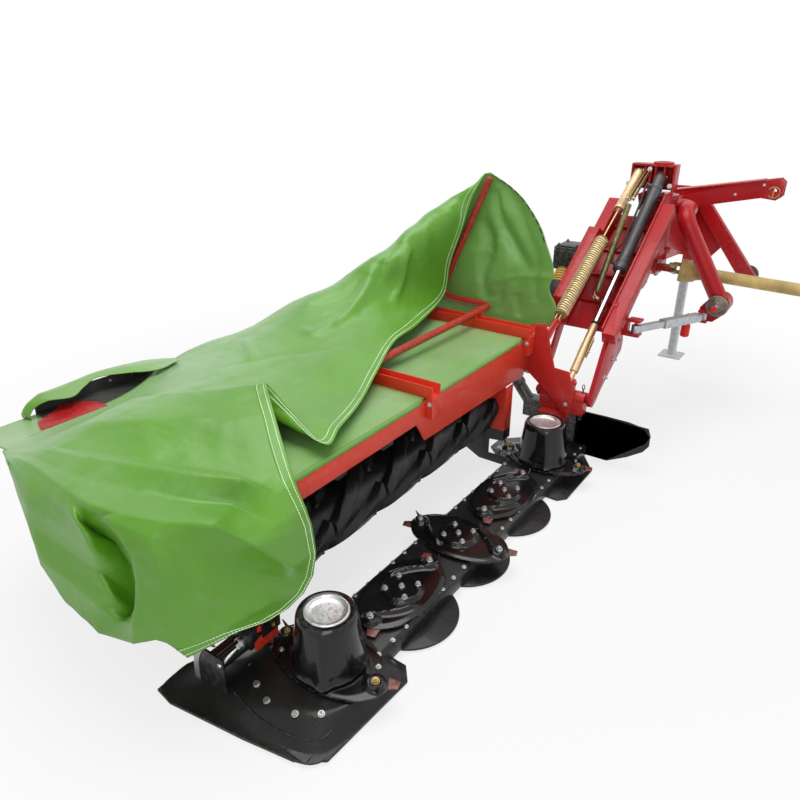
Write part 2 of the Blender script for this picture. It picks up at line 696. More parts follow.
def buildBoltTree():
    tree, gin, gout = geoTree("boltHeads", [
        ("Head Radius", "NodeSocketFloat", 0.008), ("Head Height", "NodeSocketFloat", 0.006),
        ("Washer Radius", "NodeSocketFloat", 0.011), ("Washer Height", "NodeSocketFloat", 0.002),
        ("Stud Radius", "NodeSocketFloat", 0.004), ("Stud Length", "NodeSocketFloat", 0.009),
    ])
    join = tree.nodes.new("GeometryNodeJoinGeometry")
    for part in (
        geoCylinder(tree, gin, 6, "Head Radius", "Head Height", "Washer Height"),
        geoCylinder(tree, gin, 16, "Washer Radius", "Washer Height"),
        geoCylinder(tree, gin, 10, "Stud Radius", "Stud Length"),
    ):
        tree.links.new(part, join.inputs["Geometry"])
    aim = tree.nodes.new("GeometryNodeInputNamedAttribute")
    aim.data_type = "FLOAT_VECTOR"
    aim.inputs["Name"].default_value = "aim"
    heads = placed(tree, gin.outputs["Geometry"], join.outputs["Geometry"], aim.outputs["Attribute"])
    return geoEnd(tree, gin, gout, heads)


def buildStitchTree():
    tree, gin, gout = geoTree("stitchRun", [
        ("Spacing", "NodeSocketFloat", 0.01), ("Stitch Length", "NodeSocketFloat", 0.007),
        ("Thread Radius", "NodeSocketFloat", 0.0008),
    ])
    curve = tree.nodes.new("GeometryNodeMeshToCurve")
    tree.links.new(gin.outputs["Geometry"], curve.inputs["Mesh"])
    points = tree.nodes.new("GeometryNodeCurveToPoints")
    points.mode = "LENGTH"
    tree.links.new(curve.outputs["Curve"], points.inputs["Curve"])
    thread = tree.nodes.new("GeometryNodeMeshCylinder")
    thread.inputs["Vertices"].default_value = 6
    feed(tree, gin, points, Length="Spacing")
    feed(tree, gin, thread, Radius="Thread Radius", Depth="Stitch Length")
    stitches = placed(tree, points.outputs["Points"], thread.outputs["Mesh"], points.outputs["Tangent"])
    return geoEnd(tree, gin, gout, stitches)


def buildCoilTree():
    tree, gin, gout = geoTree("coilSpring", [
        ("Turns", "NodeSocketFloat", 40.0), ("Coil Radius", "NodeSocketFloat", 0.03),
        ("Wire Radius", "NodeSocketFloat", 0.004), ("Height", "NodeSocketFloat", 0.5),
        ("Steps Per Turn", "NodeSocketInt", 20),
    ])
    spiral = tree.nodes.new("GeometryNodeCurveSpiral")
    feed(tree, gin, spiral, Resolution="Steps Per Turn", Rotations="Turns", Start_Radius="Coil Radius",
         End_Radius="Coil Radius", Height="Height")
    wire = tree.nodes.new("GeometryNodeCurvePrimitiveCircle")
    wire.inputs["Resolution"].default_value = 8
    feed(tree, gin, wire, Radius="Wire Radius")
    sweep = tree.nodes.new("GeometryNodeCurveToMesh")
    sweep.inputs["Fill Caps"].default_value = True
    tree.links.new(spiral.outputs["Curve"], sweep.inputs["Curve"])
    tree.links.new(wire.outputs["Curve"], sweep.inputs["Profile Curve"])
    smooth = tree.nodes.new("GeometryNodeSetShadeSmooth")
    tree.links.new(sweep.outputs["Mesh"], smooth.inputs["Geometry"])
    return geoEnd(tree, gin, gout, smooth.outputs["Geometry"])


boltTree, stitchTree, coilTree = buildBoltTree(), buildStitchTree(), buildCoilTree()


def runTree(name, tree, verts, edges, material, values, aims=None):
    # the tree's result as a plain mesh; inputs are set before it is first evaluated
    mesh = bpy.data.meshes.new(name)
    mesh.from_pydata([tuple(v) for v in verts], edges, [])
    if aims:
        aim = mesh.attributes.new("aim", "FLOAT_VECTOR", "POINT")
        aim.data.foreach_set("vector", [c for a in aims for c in a])
    obj = bpy.data.objects.new(name, mesh)
    bpy.context.collection.objects.link(obj)
    modifier = obj.modifiers.new("nodes", "NODES")
    modifier.node_group = tree
    for item in tree.interface.items_tree:
        if item.item_type == "SOCKET" and item.in_out == "INPUT":
            if item.name in values:
                modifier[item.identifier] = values[item.name]
            elif item.name == "Material":
                modifier[item.identifier] = material
    applyModifiers(obj)
    dropAttribute(obj, "aim")
    return obj


stitchSizes = {"Spacing": 0.0105, "Stitch Length": 0.0078, "Thread Radius": 0.0011}


def stitchLine(name, lines):
    verts, edges = [], []
    for line in lines:
        base = len(verts)
        verts += [tuple(p) for p in line]
        edges += [(base + k, base + k + 1) for k in range(len(line) - 1)]
    return runTree(name, stitchTree, verts, edges, stitchThread, stitchSizes)


# shares of half the width across corners
boltShares = {"height": 0.75, "washer": 0.22, "stud": 0.52, "seat": 0.97, "thread": 0.5}


def bolts(name, places, material, body, size=0.008, washer=1.45, stud=1.0):
    # places are (point, outward direction); size is half the width across corners
    s = boltShares
    settings = {
        "Head Radius": size, "Head Height": size * s["height"], "Washer Radius": size * washer,
        "Washer Height": size * s["washer"], "Stud Radius": size * s["stud"],
        "Stud Length": size * (s["seat"] + s["thread"] * stud),
    }
    aims = [tuple(Vector(way).normalized()) for _, way in places]
    obj = runTree(name, boltTree, [point for point, _ in places], [], material, settings, aims)
    obj.data.set_sharp_from_angle(angle=math.radians(30))
    return settle(obj, body)


def coil(name, start, end, radius, wire, turns, material):
    a, b = Vector(start), Vector(end)
    obj = runTree(name, coilTree, [(0, 0, 0)], [], material, {
        "Turns": float(turns), "Coil Radius": radius, "Wire Radius": wire, "Height": (b - a).length,
    })
    turn = (b - a).to_track_quat("Z", "Y").to_matrix().to_4x4()
    obj.data.transform(Matrix.Translation(a) @ turn)
    return obj


print("node trees ready")


# green fabric: the roof and the outer drape are one sheet
sheetSizes = {"thickness": 0.0022, "stitchOut": 0.0006}
roofSizes = {
    "linePoints": 9, "cells": 11, "cellSize": 0.011,
    # rows at these distances from the hem, lifted by the fold of the seam
    "hem": (0, .003, .012, .024, .036, .040, .0415, .044), "hemLift": 0.0014, "edgeLift": 0.0006,
    # crumple: scale, seed and height of each layer, and its share near the hem
    "crumple": ((16.0, 3, 0.008), (42.0, 5, 0.0036)), "calmShare": 0.25,
    # where the rear outer corner comes down onto the deck
    "downY": (0.86, 1.12), "downX": (-0.38, -0.72), "drop": 0.06, "overDeck": 0.012, "overFrame": 0.006,
}

# station lines over the frame, from the rear edge to the front hem
roofStations = [
    [(1.12, 1.29, .69), (1.12, 1.12, .86), (1.12, .93, 1.05), (1.112, .74, 1.22), (1.10, .60, 1.33),
     (1.092, .552, 1.374)],
    [(1.02, 1.295, .69), (1.03, 1.12, .87), (1.04, .93, 1.055), (1.045, .76, 1.215), (1.055, .655, 1.275),
     (1.062, .60, 1.262)],
    [(.93, 1.295, .69), (.94, 1.12, .865), (.95, .92, 1.055), (.96, .76, 1.195), (.99, .67, 1.20),
     (1.045, .64, 1.115)],
    [(.80, 1.30, .69), (.80, 1.12, .84), (.80, .92, 1.02), (.80, .76, 1.135), (.90, .72, 1.03),
     (1.03, .70, .925)],
    [(.62, 1.30, .69), (.62, 1.12, .83), (.63, .93, .98), (.65, .80, 1.045), (.80, .74, .87),
     (.99, .705, .765)],
    [(.45, 1.30, .69), (.46, 1.14, .80), (.48, .98, .90), (.51, .86, .93), (.56, .73, .80),
     (.61, .61, .722)],
    [(.28, 1.30, .69), (.29, 1.16, .80), (.31, 1.0, .86), (.31, .84, .81), (.30, .66, .765),
     (.28, .51, .752)],
    [(.08, 1.30, .69), (.08, 1.14, .75), (.07, .97, .76), (.06, .78, .742), (.03, .58, .752),
     (-.004, .40, .722)],
    [(-.15, 1.30, .69), (-.15, 1.12, .715), (-.16, .92, .715), (-.18, .72, .705), (-.2, .5, .70),
     (-.23, .305, .70)],
    [(-.38, 1.24, .69), (-.38, 1.06, .71), (-.39, .86, .715), (-.40, .66, .71), (-.42, .44, .705),
     (-.43, .235, .70)],
    [(-.58, 1.165, .69), (-.57, 1.02, .715), (-.56, .83, .73), (-.55, .62, .735), (-.55, .40, .72),
     (-.555, .198, .70)],
    [(-.75, 1.145, .69), (-.71, 1.00, .72), (-.66, .83, .755), (-.60, .66, .78), (-.55, .50, .775),
     (-.525, .36, .755)],
    [(-1.014, 1.122, .700), (-.87, 1.00, .735), (-.720, .82, .775), (-.64, .68, .795), (-.57, .57, .815),
     (-.510, .491, .825)],
    [(-1.145, 1.085, .700), (-.990, .932, .735), (-.873, .710, .770), (-.80, .59, .778), (-.70, .44, .775),
     (-.618, .343, .760)],
]
# fold lines of the outer drape, each with its own creases, ending at the hem
drapeStations = [
    [(-1.157, 1.075, .700), (-1.099, .930, .707), (-1.054, .774, .713), (-.999, .643, .710),
     (-.953, .524, .707),
     (-.899, .421, .696), (-.843, .323, .684), (-.806, .234, .666), (-.707, .208, .688)],
    [(-1.161, 1.063, .699), (-1.113, .879, .718), (-1.082, .698, .739), (-1.048, .561, .746),
     (-1.013, .433, .753),
     (-.967, .311, .754), (-.908, .194, .748), (-.818, .174, .670), (-.740, .147, .640)],
    [(-1.165, 1.051, .698), (-1.154, .831, .706), (-1.149, .654, .718), (-1.118, .537, .714),
     (-1.083, .415, .711),
     (-1.031, .307, .697), (-.947, .215, .675), (-.886, .109, .611), (-.746, .112, .591)],
    [(-1.169, 1.039, .697), (-1.183, .799, .708), (-1.209, .573, .719), (-1.219, .457, .720),
     (-1.189, .361, .716),
     (-1.141, .239, .717), (-1.083, .119, .721), (-.986, .080, .605), (-.739, .100, .531)],
    [(-1.173, 1.027, .696), (-1.203, .778, .696), (-1.248, .493, .681), (-1.216, .513, .636),
     (-1.219, .401, .708),
     (-1.191, .255, .686), (-1.110, .153, .636), (-.858, .070, .457), (-.734, .094, .427)],
    [(-1.177, 1.015, .695), (-1.235, .759, .671), (-1.246, .449, .643), (-1.162, .467, .561),
     (-1.220, .339, .680),
     (-1.199, .241, .639), (-1.114, .155, .600), (-.864, .091, .408), (-.757, .091, .354)],
    [(-1.181, 1.003, .694), (-1.256, .758, .631), (-1.244, .453, .595), (-1.142, .444, .466),
     (-1.223, .295, .632),
     (-1.195, .228, .582), (-1.116, .139, .548), (-.910, .087, .379), (-.806, .088, .320)],
    [(-1.185, .991, .693), (-1.267, .752, .574), (-1.225, .475, .500), (-1.146, .434, .378),
     (-1.222, .294, .551),
     (-1.195, .228, .521), (-1.123, .141, .489), (-.995, .091, .383), (-.877, .088, .310)],
    [(-1.189, .979, .692), (-1.277, .718, .515), (-1.226, .422, .433), (-1.176, .414, .334),
     (-1.232, .306, .470),
     (-1.201, .233, .460), (-1.147, .169, .434), (-1.061, .110, .381), (-.951, .091, .316)],
    [(-1.193, .967, .691), (-1.281, .700, .475), (-1.255, .495, .404), (-1.228, .406, .360),
     (-1.244, .316, .399),
     (-1.210, .250, .408), (-1.168, .197, .390), (-1.114, .144, .363), (-1.057, .114, .338)],
    [(-1.197, .955, .690), (-1.280, .708, .448), (-1.273, .619, .347), (-1.264, .479, .295),
     (-1.249, .323, .331),
     (-1.213, .269, .347), (-1.199, .241, .338), (-1.183, .218, .312), (-1.168, .200, .284)],
]


def evenPoints(line, count):
    return [tuple(p) for p in smoothPath(line, count)]


def lineGrid(points, cells, crisp):
    # equal steps between neighbouring points, between straight runs and a cubic
    p = np.array(points, float)
    knots = np.arange(len(p), dtype=float)
    at = np.linspace(0, len(p) - 1, (len(p) - 1) * cells + 1)
    straight = np.stack([np.interp(at, knots, p[:, k]) for k in range(3)], axis=1)
    return crisp * straight + (1 - crisp) * spline1(p, knots, at)


def sheetSurface(stations, crisps, cells, cellSize):
    # stations share their point count, so a crease runs from line to line
    rows = np.array([lineGrid(s, cells, c) for s, c in zip(stations, crisps)])
    gaps = np.linalg.norm(np.diff(rows, axis=0), axis=2).mean(axis=1)
    knots = np.concatenate([[0], np.cumsum(gaps)])
    steps = np.maximum(5, np.round(gaps / cellSize)).astype(int)
    at = np.concatenate([knots[i] + gaps[i] * np.arange(n) / n for i,
                         n in enumerate(steps)] + [[knots[-1]]])
    weight = np.interp(at, knots, crisps)[:, None]
    grid = np.empty((len(at), rows.shape[1], 3))
    for j in range(rows.shape[1]):
        straight = np.stack([np.interp(at, knots, rows[:, j, k]) for k in range(3)], axis=1)
        grid[:, j] = weight * straight + (1 - weight) * spline1(rows[:, j], knots, at)
    return grid


def relax(grid, passes):
    # rounds the creases a little; the edges stay
    for _ in range(passes):
        inner = (grid[:-2, 1:-1] + grid[2:, 1:-1] + grid[1:-1, :-2] + grid[1:-1, 2:]) / 4
        grid[1:-1, 1:-1] = 0.5 * grid[1:-1, 1:-1] + 0.5 * inner
    return grid


def hemRows(grid, cells, hem):
    # replaces the last cells with rows at exact distances from the hem
    fixed = grid.shape[1] - cells
    out = np.empty((grid.shape[0], fixed + 6 + len(hem), 3))
    for i, line in enumerate(grid):
        run = np.concatenate([[0], np.cumsum(np.linalg.norm(np.diff(line, axis=0), axis=1))])
        last = run[-1] - hem[-1]
        start = min(run[fixed - 1], last - 0.004)
        head = np.minimum(run[:fixed], start * np.linspace(0.9, 1,
                fixed) if run[fixed - 1] > start else run[:fixed])
        at = np.concatenate([head, np.linspace(head[-1], last, 8)[1:-1], run[-1] - hem[::-1]])
        out[i] = np.stack([np.interp(at, run, line[:, k]) for k in range(3)], axis=1)
    return out


def clothPiece(name, grid, material):
    # a sheet whose own map runs in metres along its threads
    rows, cols = grid.shape[:2]
    width = np.linalg.norm(np.diff(grid, axis=0), axis=2).sum(axis=0).mean()
    length = np.linalg.norm(np.diff(grid, axis=1), axis=2).sum(axis=1).mean()
    obj = newMesh(name, grid.reshape(-1, 3), gridFaces(rows, cols), material)
    gridUv(obj, rows, cols, width, length)
    return obj


def thicken(obj, thickness, offset=0.0):
    wall = obj.modifiers.new("wall", "SOLIDIFY")
    wall.thickness, wall.offset, wall.use_even_offset = thickness, offset, False
    return applyModifiers(obj)


def ridgedNoise(points, scale, seed):
    # a cheap crumple: folded sine waves in mixed directions
    rnd = np.random.default_rng(seed)
    total = np.zeros(points.shape[:-1])
    for _ in range(7):
        way = rnd.normal(size=3)
        way *= scale * rnd.uniform(0.6, 1.6) / np.linalg.norm(way)
        total += 1 - np.abs(
            np.sin(points @ way + rnd.uniform(0, 6) + 1.5 * np.sin(points @ way[::-1] * 0.7)))
    return total / 7 - 0.36


def crumple(grid, layers):
    return sum(ridgedNoise(grid, scale, seed) * height for scale, seed, height in layers)


# fold lines of the roof: points, height, width, and whether the ridge is sharp
roofFolds = [
    ([(.109, .925, .769), (.116, .847, .762), (.207, .822, .779), (.374, .818, .830), (.507, .840, .917),
      (.578, .851, .980)], -.022, .03, False),
    ([(.243, .967, .829), (.401, .884, .868), (.535, .856, .943)], .014, .035, False),
    ([(.755, .761, 1.052), (.696, .756, .985), (.674, .765, .888), (.559, .731, .806)], -.018, .022, False),
    ([(.731, .811, 1.071), (.599, .817, .982), (.549, .804, .901)], .012, .018, True),
    ([(.932, .739, 1.175), (.981, .686, 1.206), (1.052, .621, 1.189)], .007, .012, True),
    ([(-.744, .573, .784), (-.553, .470, .809), (-.083, .565, .724)], .006, .010, True),
    ([(-.339, .969, .713), (-.112, .870, .718), (.040, .703, .743), (.171, .562, .753)], .006, .012, True),
    ([(-.043, 1.122, .728), (-.111, 1.025, .723), (-.192, .919, .713)], -.014, .022, False),
    ([(.899, .722, .821), (.450, .601, .745), (.082, .481, .741)], .004, .02, False),
    ([(-.272, .508, .697), (-.107, .475, .718), (.236, .550, .754)], .005, .010, True),
    ([(-.9, 1.0, .73), (-.78, .8, .76), (-.72, .6, .78)], .005, .010, True),
    ([(-1.02, .86, .735), (-.90, .70, .77), (-.82, .52, .775)], .006, .010, True),
]


def clearOf(grid, node, margin):
    # moves the points that would lie inside a frame member out to its nearest outer face
    low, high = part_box(node)
    low, high = np.array(low) - margin, np.array(high) + margin
    inside = np.all((grid > low) & (grid < high), axis=-1)
    ways = np.stack([grid[..., 0] - low[0], grid[..., 1] - low[1], high[2] - grid[..., 2]], axis=-1)
    nearest = np.argmin(ways, axis=-1)
    for axis, edge in enumerate((low[0], low[1], high[2])):
        grid[..., axis] = np.where(inside & (nearest == axis), edge, grid[..., axis])


def layDown(grid, deckTop):
    # the rear outer corner of the roof lies down on the deck
    s = roofSizes
    amount = smoothStep(grid[..., 1], *s["downY"]) * smoothStep(grid[..., 0], *s["downX"])
    down = np.maximum(grid[..., 2] - s["drop"], deckTop)
    high = grid[..., 2] > deckTop
    grid[..., 2] = np.where(high, grid[..., 2] * (1 - amount) + down * amount, grid[..., 2])


def buildRoof():
    s = roofSizes
    stations = [evenPoints(line, s["linePoints"]) for line in roofStations] + drapeStations
    # the roof is soft, and its creases sharpen towards the drape
    crisps = [0.0] * (len(roofStations) - 3) + [0.2, 0.35, 0.6] + [1.0] * len(drapeStations)
    grid = relax(sheetSurface(stations, crisps, s["cells"], s["cellSize"]), 1)
    grid = hemRows(foldSurface(grid, roofFolds), s["cells"], np.array(s["hem"]))
    normals = gridNormals(grid)
    if normals[60, 40, 2] < 0:
        normals = -normals
    calm = np.ones(grid.shape[1])
    calm[-8:] = s["calmShare"]
    grid += normals * (crumple(grid, s["crumple"]) * calm[None, :])[..., None]
    lift = np.zeros(grid.shape[1])
    lift[-6:] = s["hemLift"]
    lift[-1] = s["edgeLift"]
    grid += normals * lift[None, :, None]
    layDown(grid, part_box("tarp_deck")[1][2] + s["overDeck"])
    for member in ("front_beam", "cover_frame", "tarp_deck"):
        clearOf(grid, member, s["overFrame"])
    return clothPiece("coverTarp", grid, tarpCloth), grid, normals


coverTarp, tarpGrid, tarpNormals = buildRoof()
thicken(coverTarp, sheetSizes["thickness"])


def hemStitches():
    # two rows on each face of the hem
    out = tarpNormals * (sheetSizes["thickness"] / 2 + sheetSizes["stitchOut"])
    faces = (tarpGrid + out, tarpGrid - out)
    return stitchLine("tarpStitches", [face[:, -2 - row] for face in faces for row in (1, 3)])


tarpStitches = hemStitches()
print("tarp made")
# cutter bar: discs, drums, knives, rolls, shoe and their bolts

discSizes = {
    "long": 0.222, "short": 0.128, "thickness": 0.005, "level": 0.095,
    "hubRadius": 0.066, "hubRise": 0.015, "seatAt": 0.186, "seatRadius": 0.03, "seatRise": 0.011,
    "knifeRoot": 0.161, "knifeTip": 0.252, "knifeWidth": 0.042, "knifeThickness": 0.005, "knifeTurn": 9.0,
    "knifeDrop": 0.011,
    "rings": 34, "steps": 144,
}


def discHeight(u, v):
    # hub dome, the two knife seats and the curved lifting vanes between them
    s = discSizes
    radius = np.hypot(u, v)
    height = s["hubRise"] * (1 - smoothStep(radius, s["hubRadius"], s["hubRadius"] + 0.014))
    edge = np.hypot(u / s["long"], v / s["short"])
    height = height - 0.004 * smoothStep(edge, 0.86, 1.0)
    for side in (-1, 1):
        seat = np.hypot(u - side * s["seatAt"], v)
        height = height + s["seatRise"] * (1 - smoothStep(seat, s["seatRadius"] * 0.75,
                s["seatRadius"] * 1.35))
        crest = side * (0.082 - 0.9 * (side * u - 0.02) ** 2 / 0.2)
        vane = np.exp(-(((v - crest) / 0.015) ** 2)) * smoothStep(side * u, 0.02, 0.06)
        vane = vane * (1 - smoothStep(side * u, 0.13, 0.19))
        height = height + 0.013 * vane
    return height


def discPlate(name, centreX, lengthwise, material):
    # a pressed oval plate with a rolled edge; lengthwise turns its long axis along Y
    s = discSizes
    angle = np.linspace(0, 2 * np.pi, s["steps"], endpoint=False)
    verts = []
    profile = list(np.linspace(0, 1, s["rings"])[1:] ** 0.9)
    for side, drop in ((1, 0.0), (-1, s["thickness"])):
        for f in profile if side > 0 else profile[::-1]:
            pinch = 1 - 0.07 * np.cos(2 * angle) ** 2 * np.sin(2 * angle) ** 2
            u, v = f * s["long"] * np.cos(angle) * pinch, f * s["short"] * np.sin(angle) * pinch
            z = s["level"] + discHeight(u, v) - drop
            x, y = (v, -u) if lengthwise else (u, v)
            verts += list(zip(x + centreX, y, z))
    n, rows = s["steps"], 2 * len(profile)
    faces = ringFaces(rows, n)
    top = s["level"] + s["hubRise"]
    verts += [(centreX, 0, top), (centreX, 0, top - s["thickness"])]
    faces += [(len(verts) - 2, (k + 1) % n, k) for k in range(n)]
    faces += [(len(verts) - 1, (rows - 1) * n + k, (rows - 1) * n + (k + 1) % n) for k in range(n)]
    obj = newMesh(name, verts, faces, material)
    tidyNormals(obj, 0.000001)
    return sharpByAngle(obj, 50)


def along(centreX, lengthwise, u, v, z):
    return Vector((centreX + v, -u, z)) if lengthwise else Vector((centreX + u, v, z))


def blade(name, centreX, lengthwise, side):
    s = discSizes
    half = s["knifeWidth"] / 2
    outline = [
        (s["knifeRoot"], -half), (s["knifeTip"] - 0.03, -half), (s["knifeTip"] - 0.004, -half * 0.35),
        (s["knifeTip"] - 0.008, half), (s["knifeRoot"], half),
    ]
    turn = math.radians(s["knifeTurn"])
    spin = math.pi if side < 0 else 0.0
    ahead = Vector((math.cos(spin + turn), math.sin(spin + turn), 0))
    if lengthwise:
        ahead = Vector((ahead.y, -ahead.x, 0))
    beside = Vector((0, 0, 1)).cross(ahead)
    under = (centreX, 0, s["level"] - s["knifeDrop"])
    return plate(name, outline, ahead, beside, under, s["knifeThickness"], knifeSteel, 0.001)


def fin(name, centreX, lengthwise, side, material):
    # the small upturned ear that throws the crop off the knife seat
    points = [(0.150, 0.0), (0.214, 0.002), (0.226, 0.03), (0.206, 0.012), (0.170, 0.006)]
    base = along(centreX, lengthwise, 0, side * -0.052, discSizes["level"] - 0.002)
    axis = along(0, lengthwise, side, side * 0.16, 0).normalized()
    return plate(name, points, axis, Vector((0, 0, 1)), base, 0.006, material, 0.0012)


def drum(name, centreX, material):
    # tapered drum with two upright vanes that flare out at its foot
    profile = [
        (0.112, 0.100), (0.124, 0.102), (0.1185, 0.112), (0.1165, 0.130), (0.108, 0.200), (0.100, 0.262),
        (0.0985, 0.276), (0.0955, 0.286), (0.0900, 0.292), (0.0780, 0.2925), (0.0735, 0.290),
        (0.0725, 0.282),
        (0.0700, 0.280),
    ]
    steps, rows = 96, []
    for r, z in profile:
        ring = []
        for k in range(steps):
            a = 2 * math.pi * k / steps
            foot = (0.292 - z) / 0.19
            vane = max(0.0, math.cos(2 * (a - 0.55))) ** 14
            reach = r + vane * (0.002 + 0.017 * foot) * (1 if z < 0.285 and r > 0.09 else 0)
            ring.append((centreX + reach * math.cos(a), reach * math.sin(a), z))
        rows.append(ring)
    verts = [p for ring in rows for p in ring]
    faces = ringFaces(len(rows), steps) + endFaces(len(rows), steps)
    return sharpByAngle(newMesh(name, verts, faces, material), 34)


def drumCap(name, centreX):
    profile = [
        (0.0, 0.2815), (0.045, 0.2815), (0.058, 0.2828), (0.0625, 0.286), (0.0645, 0.2915), (0.067, 0.2938),
        (0.0715, 0.2938), (0.0732, 0.2915), (0.0732, 0.2805), (0.0, 0.2795),
    ]
    return lathe(name, profile, (centreX, 0, 0), (0, 0, 1), spunAluminium, 72)


def hubBolts(centreX, lengthwise, top):
    places = [(along(centreX, lengthwise, 0.043 * a, 0.043 * b, top), (0, 0, 1))
              for a in (-1, 1) for b in (-1, 1)]
    return places + [(along(centreX, lengthwise, 0, 0, top), (0, 0, 1))]


def buildDiscs():
    s = discSizes
    xs = [(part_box(f"disc_{i}")[0][0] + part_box(f"disc_{i}")[1][0]) / 2 for i in range(1, 6)]
    for i, x in enumerate(xs):
        number, lengthwise = i + 1, i % 2 == 0
        tall = number in (1, 5)
        parts = [discPlate(f"plate{number}", x, lengthwise, barGloss)]
        parts += [fin(f"fin{number}{side}", x, lengthwise, side, barGloss) for side in (-1, 1)]
        seat = s["level"] + s["seatRise"]
        for side in (-1, 1):
            at = along(x, lengthwise, side * s["seatAt"], 0, seat - 0.002)
            parts.append(lathe(f"dish{number}{side}", [
                (0.0, 0.0045), (0.012, 0.0045), (0.015, 0.006), (0.021, 0.006), (0.024, 0.002),
                (0.0245, -0.002),
                (0.0, -0.002),
            ], at, (0, 0, 1), barGloss, 32))
        if tall:
            parts.append(drum(f"drum{number}", x, barGloss))
        settle(joinAll(f"disc{number}Plate", parts), f"disc_{number}", f"disc_{number}")
        pair = [blade(f"blade{number}{side}", x, lengthwise, side) for side in (-1, 1)]
        settle(joinAll(f"disc{number}Knives", pair), f"disc_{number}")
        seats = [(along(x, lengthwise, side * s["seatAt"], 0, seat + 0.0025), (0, 0, 1))
                 for side in (-1, 1)]
        bolts(f"disc{number}KnifeBolts", seats, zincGold if tall else zincBright, f"disc_{number}", 0.0105,
              1.25)
        if tall:
            settle(drumCap(f"drumCap{number}", x), f"disc_{number}", f"drum_cap_{number}")
            small = [(along(x, lengthwise, side * 0.150, side * 0.062, s["level"] - 0.001),
                      (0, 0, 1)) for side in (-1, 1)]
        else:
            bolts(f"disc{number}HubBolts", hubBolts(x, lengthwise, s["level"] + s["hubRise"]), zincBright,
                  f"disc_{number}", 0.0095, 1.2)
            small = [(along(x, lengthwise, side * 0.104, side * 0.045, s["level"]),
                      (0, 0, 1)) for side in (-1, 1)]
        bolts(f"disc{number}SmallBolts", small, zincBright, f"disc_{number}", 0.007, 1.3)
    return xs


discXs = buildDiscs()
print("discs made")


# conditioner rolls: rubber core with stepped spiral lugs
rollSizes = {
    "core": 0.084, "lug": 0.116, "lugs": 4, "lean": -6.2, "segment": 0.31, "around": 108, "along": 180,
    "chamfer": 0.5, "ramp": 0.03,
}


def roll(name, nodeName, body, phase):
    s = rollSizes
    low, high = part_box(nodeName)
    centreY, centreZ = (low[1] + high[1]) / 2, (low[2] + high[2]) / 2
    start, end = low[0] + 0.02, high[0] - 0.02
    xs = np.linspace(start, end, s["along"])
    angles = np.linspace(0, 2 * np.pi, s["around"], endpoint=False)
    verts = []
    for x in xs:
        part = (x - start) / s["segment"]
        step, inside = int(part), part - int(part)
        turn = phase + s["lean"] * (x - start) + step * np.pi / s["lugs"] * 0.4
        wave = np.cos(s["lugs"] * (angles - turn))
        raised = smoothStep(wave, 0.0, s["chamfer"])
        trim = smoothStep(np.array(min(inside, 1 - inside)), 0.0, s["ramp"])
        r = s["core"] + (s["lug"] - s["core"]) * raised * float(trim)
        verts += list(zip(np.full_like(angles, x), centreY + r * np.cos(angles),
                          centreZ + r * np.sin(angles)))
    faces = ringFaces(len(xs), s["around"]) + endFaces(len(xs), s["around"])
    core = newMesh(name + "Core", verts, faces, rollRubber)
    tidyNormals(core, 0.000001)
    ends = [
        lathe(name + "Stub" + str(k), [(0.0, 0.0), (0.022, 0.0), (0.024, 0.002), (0.024, 0.03),
                                       (0.0, 0.03)],
              (x, centreY, centreZ), (d, 0, 0), darkSteel, 28)
        for k, (x, d) in enumerate(((start + 0.002, -1), (end - 0.002, 1)))
    ]
    return settle(joinAll(name, [core] + ends), body, nodeName)


roll("rollLower", "roll_lower", "lower_roll", 0.0)
roll("rollUpper", "roll_upper", "upper_roll", 0.35)
print("rolls made")


# outer shoe: a pressed pan that rises from the runner to the gear case
panSizes = {"rim": 0.016, "crown": 0.079, "footTop": 0.0145, "thickness": 0.008, "rows": 26, "steps": 160,
            "slope": 0.02}


def rayReach(centre, angle, outline):
    reach = 0.0
    direction = Vector((math.cos(angle), math.sin(angle)))
    for a, b in zip(outline, outline[1:] + outline[:1]):
        edge = Vector(b) - Vector(a)
        cross = direction.x * edge.y - direction.y * edge.x
        if abs(cross) < 1e-9:
            continue
        offset = Vector(a) - Vector(centre)
        distance = (offset.x * edge.y - offset.y * edge.x) / cross
        share = (offset.x * direction.y - offset.y * direction.x) / cross
        if -1e-6 <= share <= 1 + 1e-6 and distance > reach:
            reach = distance
    return reach


def nodeOutline(nodeName, top):
    points = [Vector(v.co[:2]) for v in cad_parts[nodeName].data.vertices if v.co.z < top]
    hull = [points[i] for i in convex_hull_2d(points)]
    for _ in range(3):
        cut = []
        for a, b in zip(hull, hull[1:] + hull[:1]):
            cut += [a.lerp(b, 0.2), a.lerp(b, 0.8)] if (a - b).length > 0.03 else [a.lerp(b, 0.5)]
        hull = cut
    return [tuple(p) for p in hull]


def panHeight(r, reach, crownRadius):
    s = panSizes
    fall = min(max((r - crownRadius) / max(reach - crownRadius, s["slope"]), 0.0), 1.0)
    return s["rim"] + (s["crown"] - s["rim"]) * (1 - fall * fall * (3 - 2 * fall))


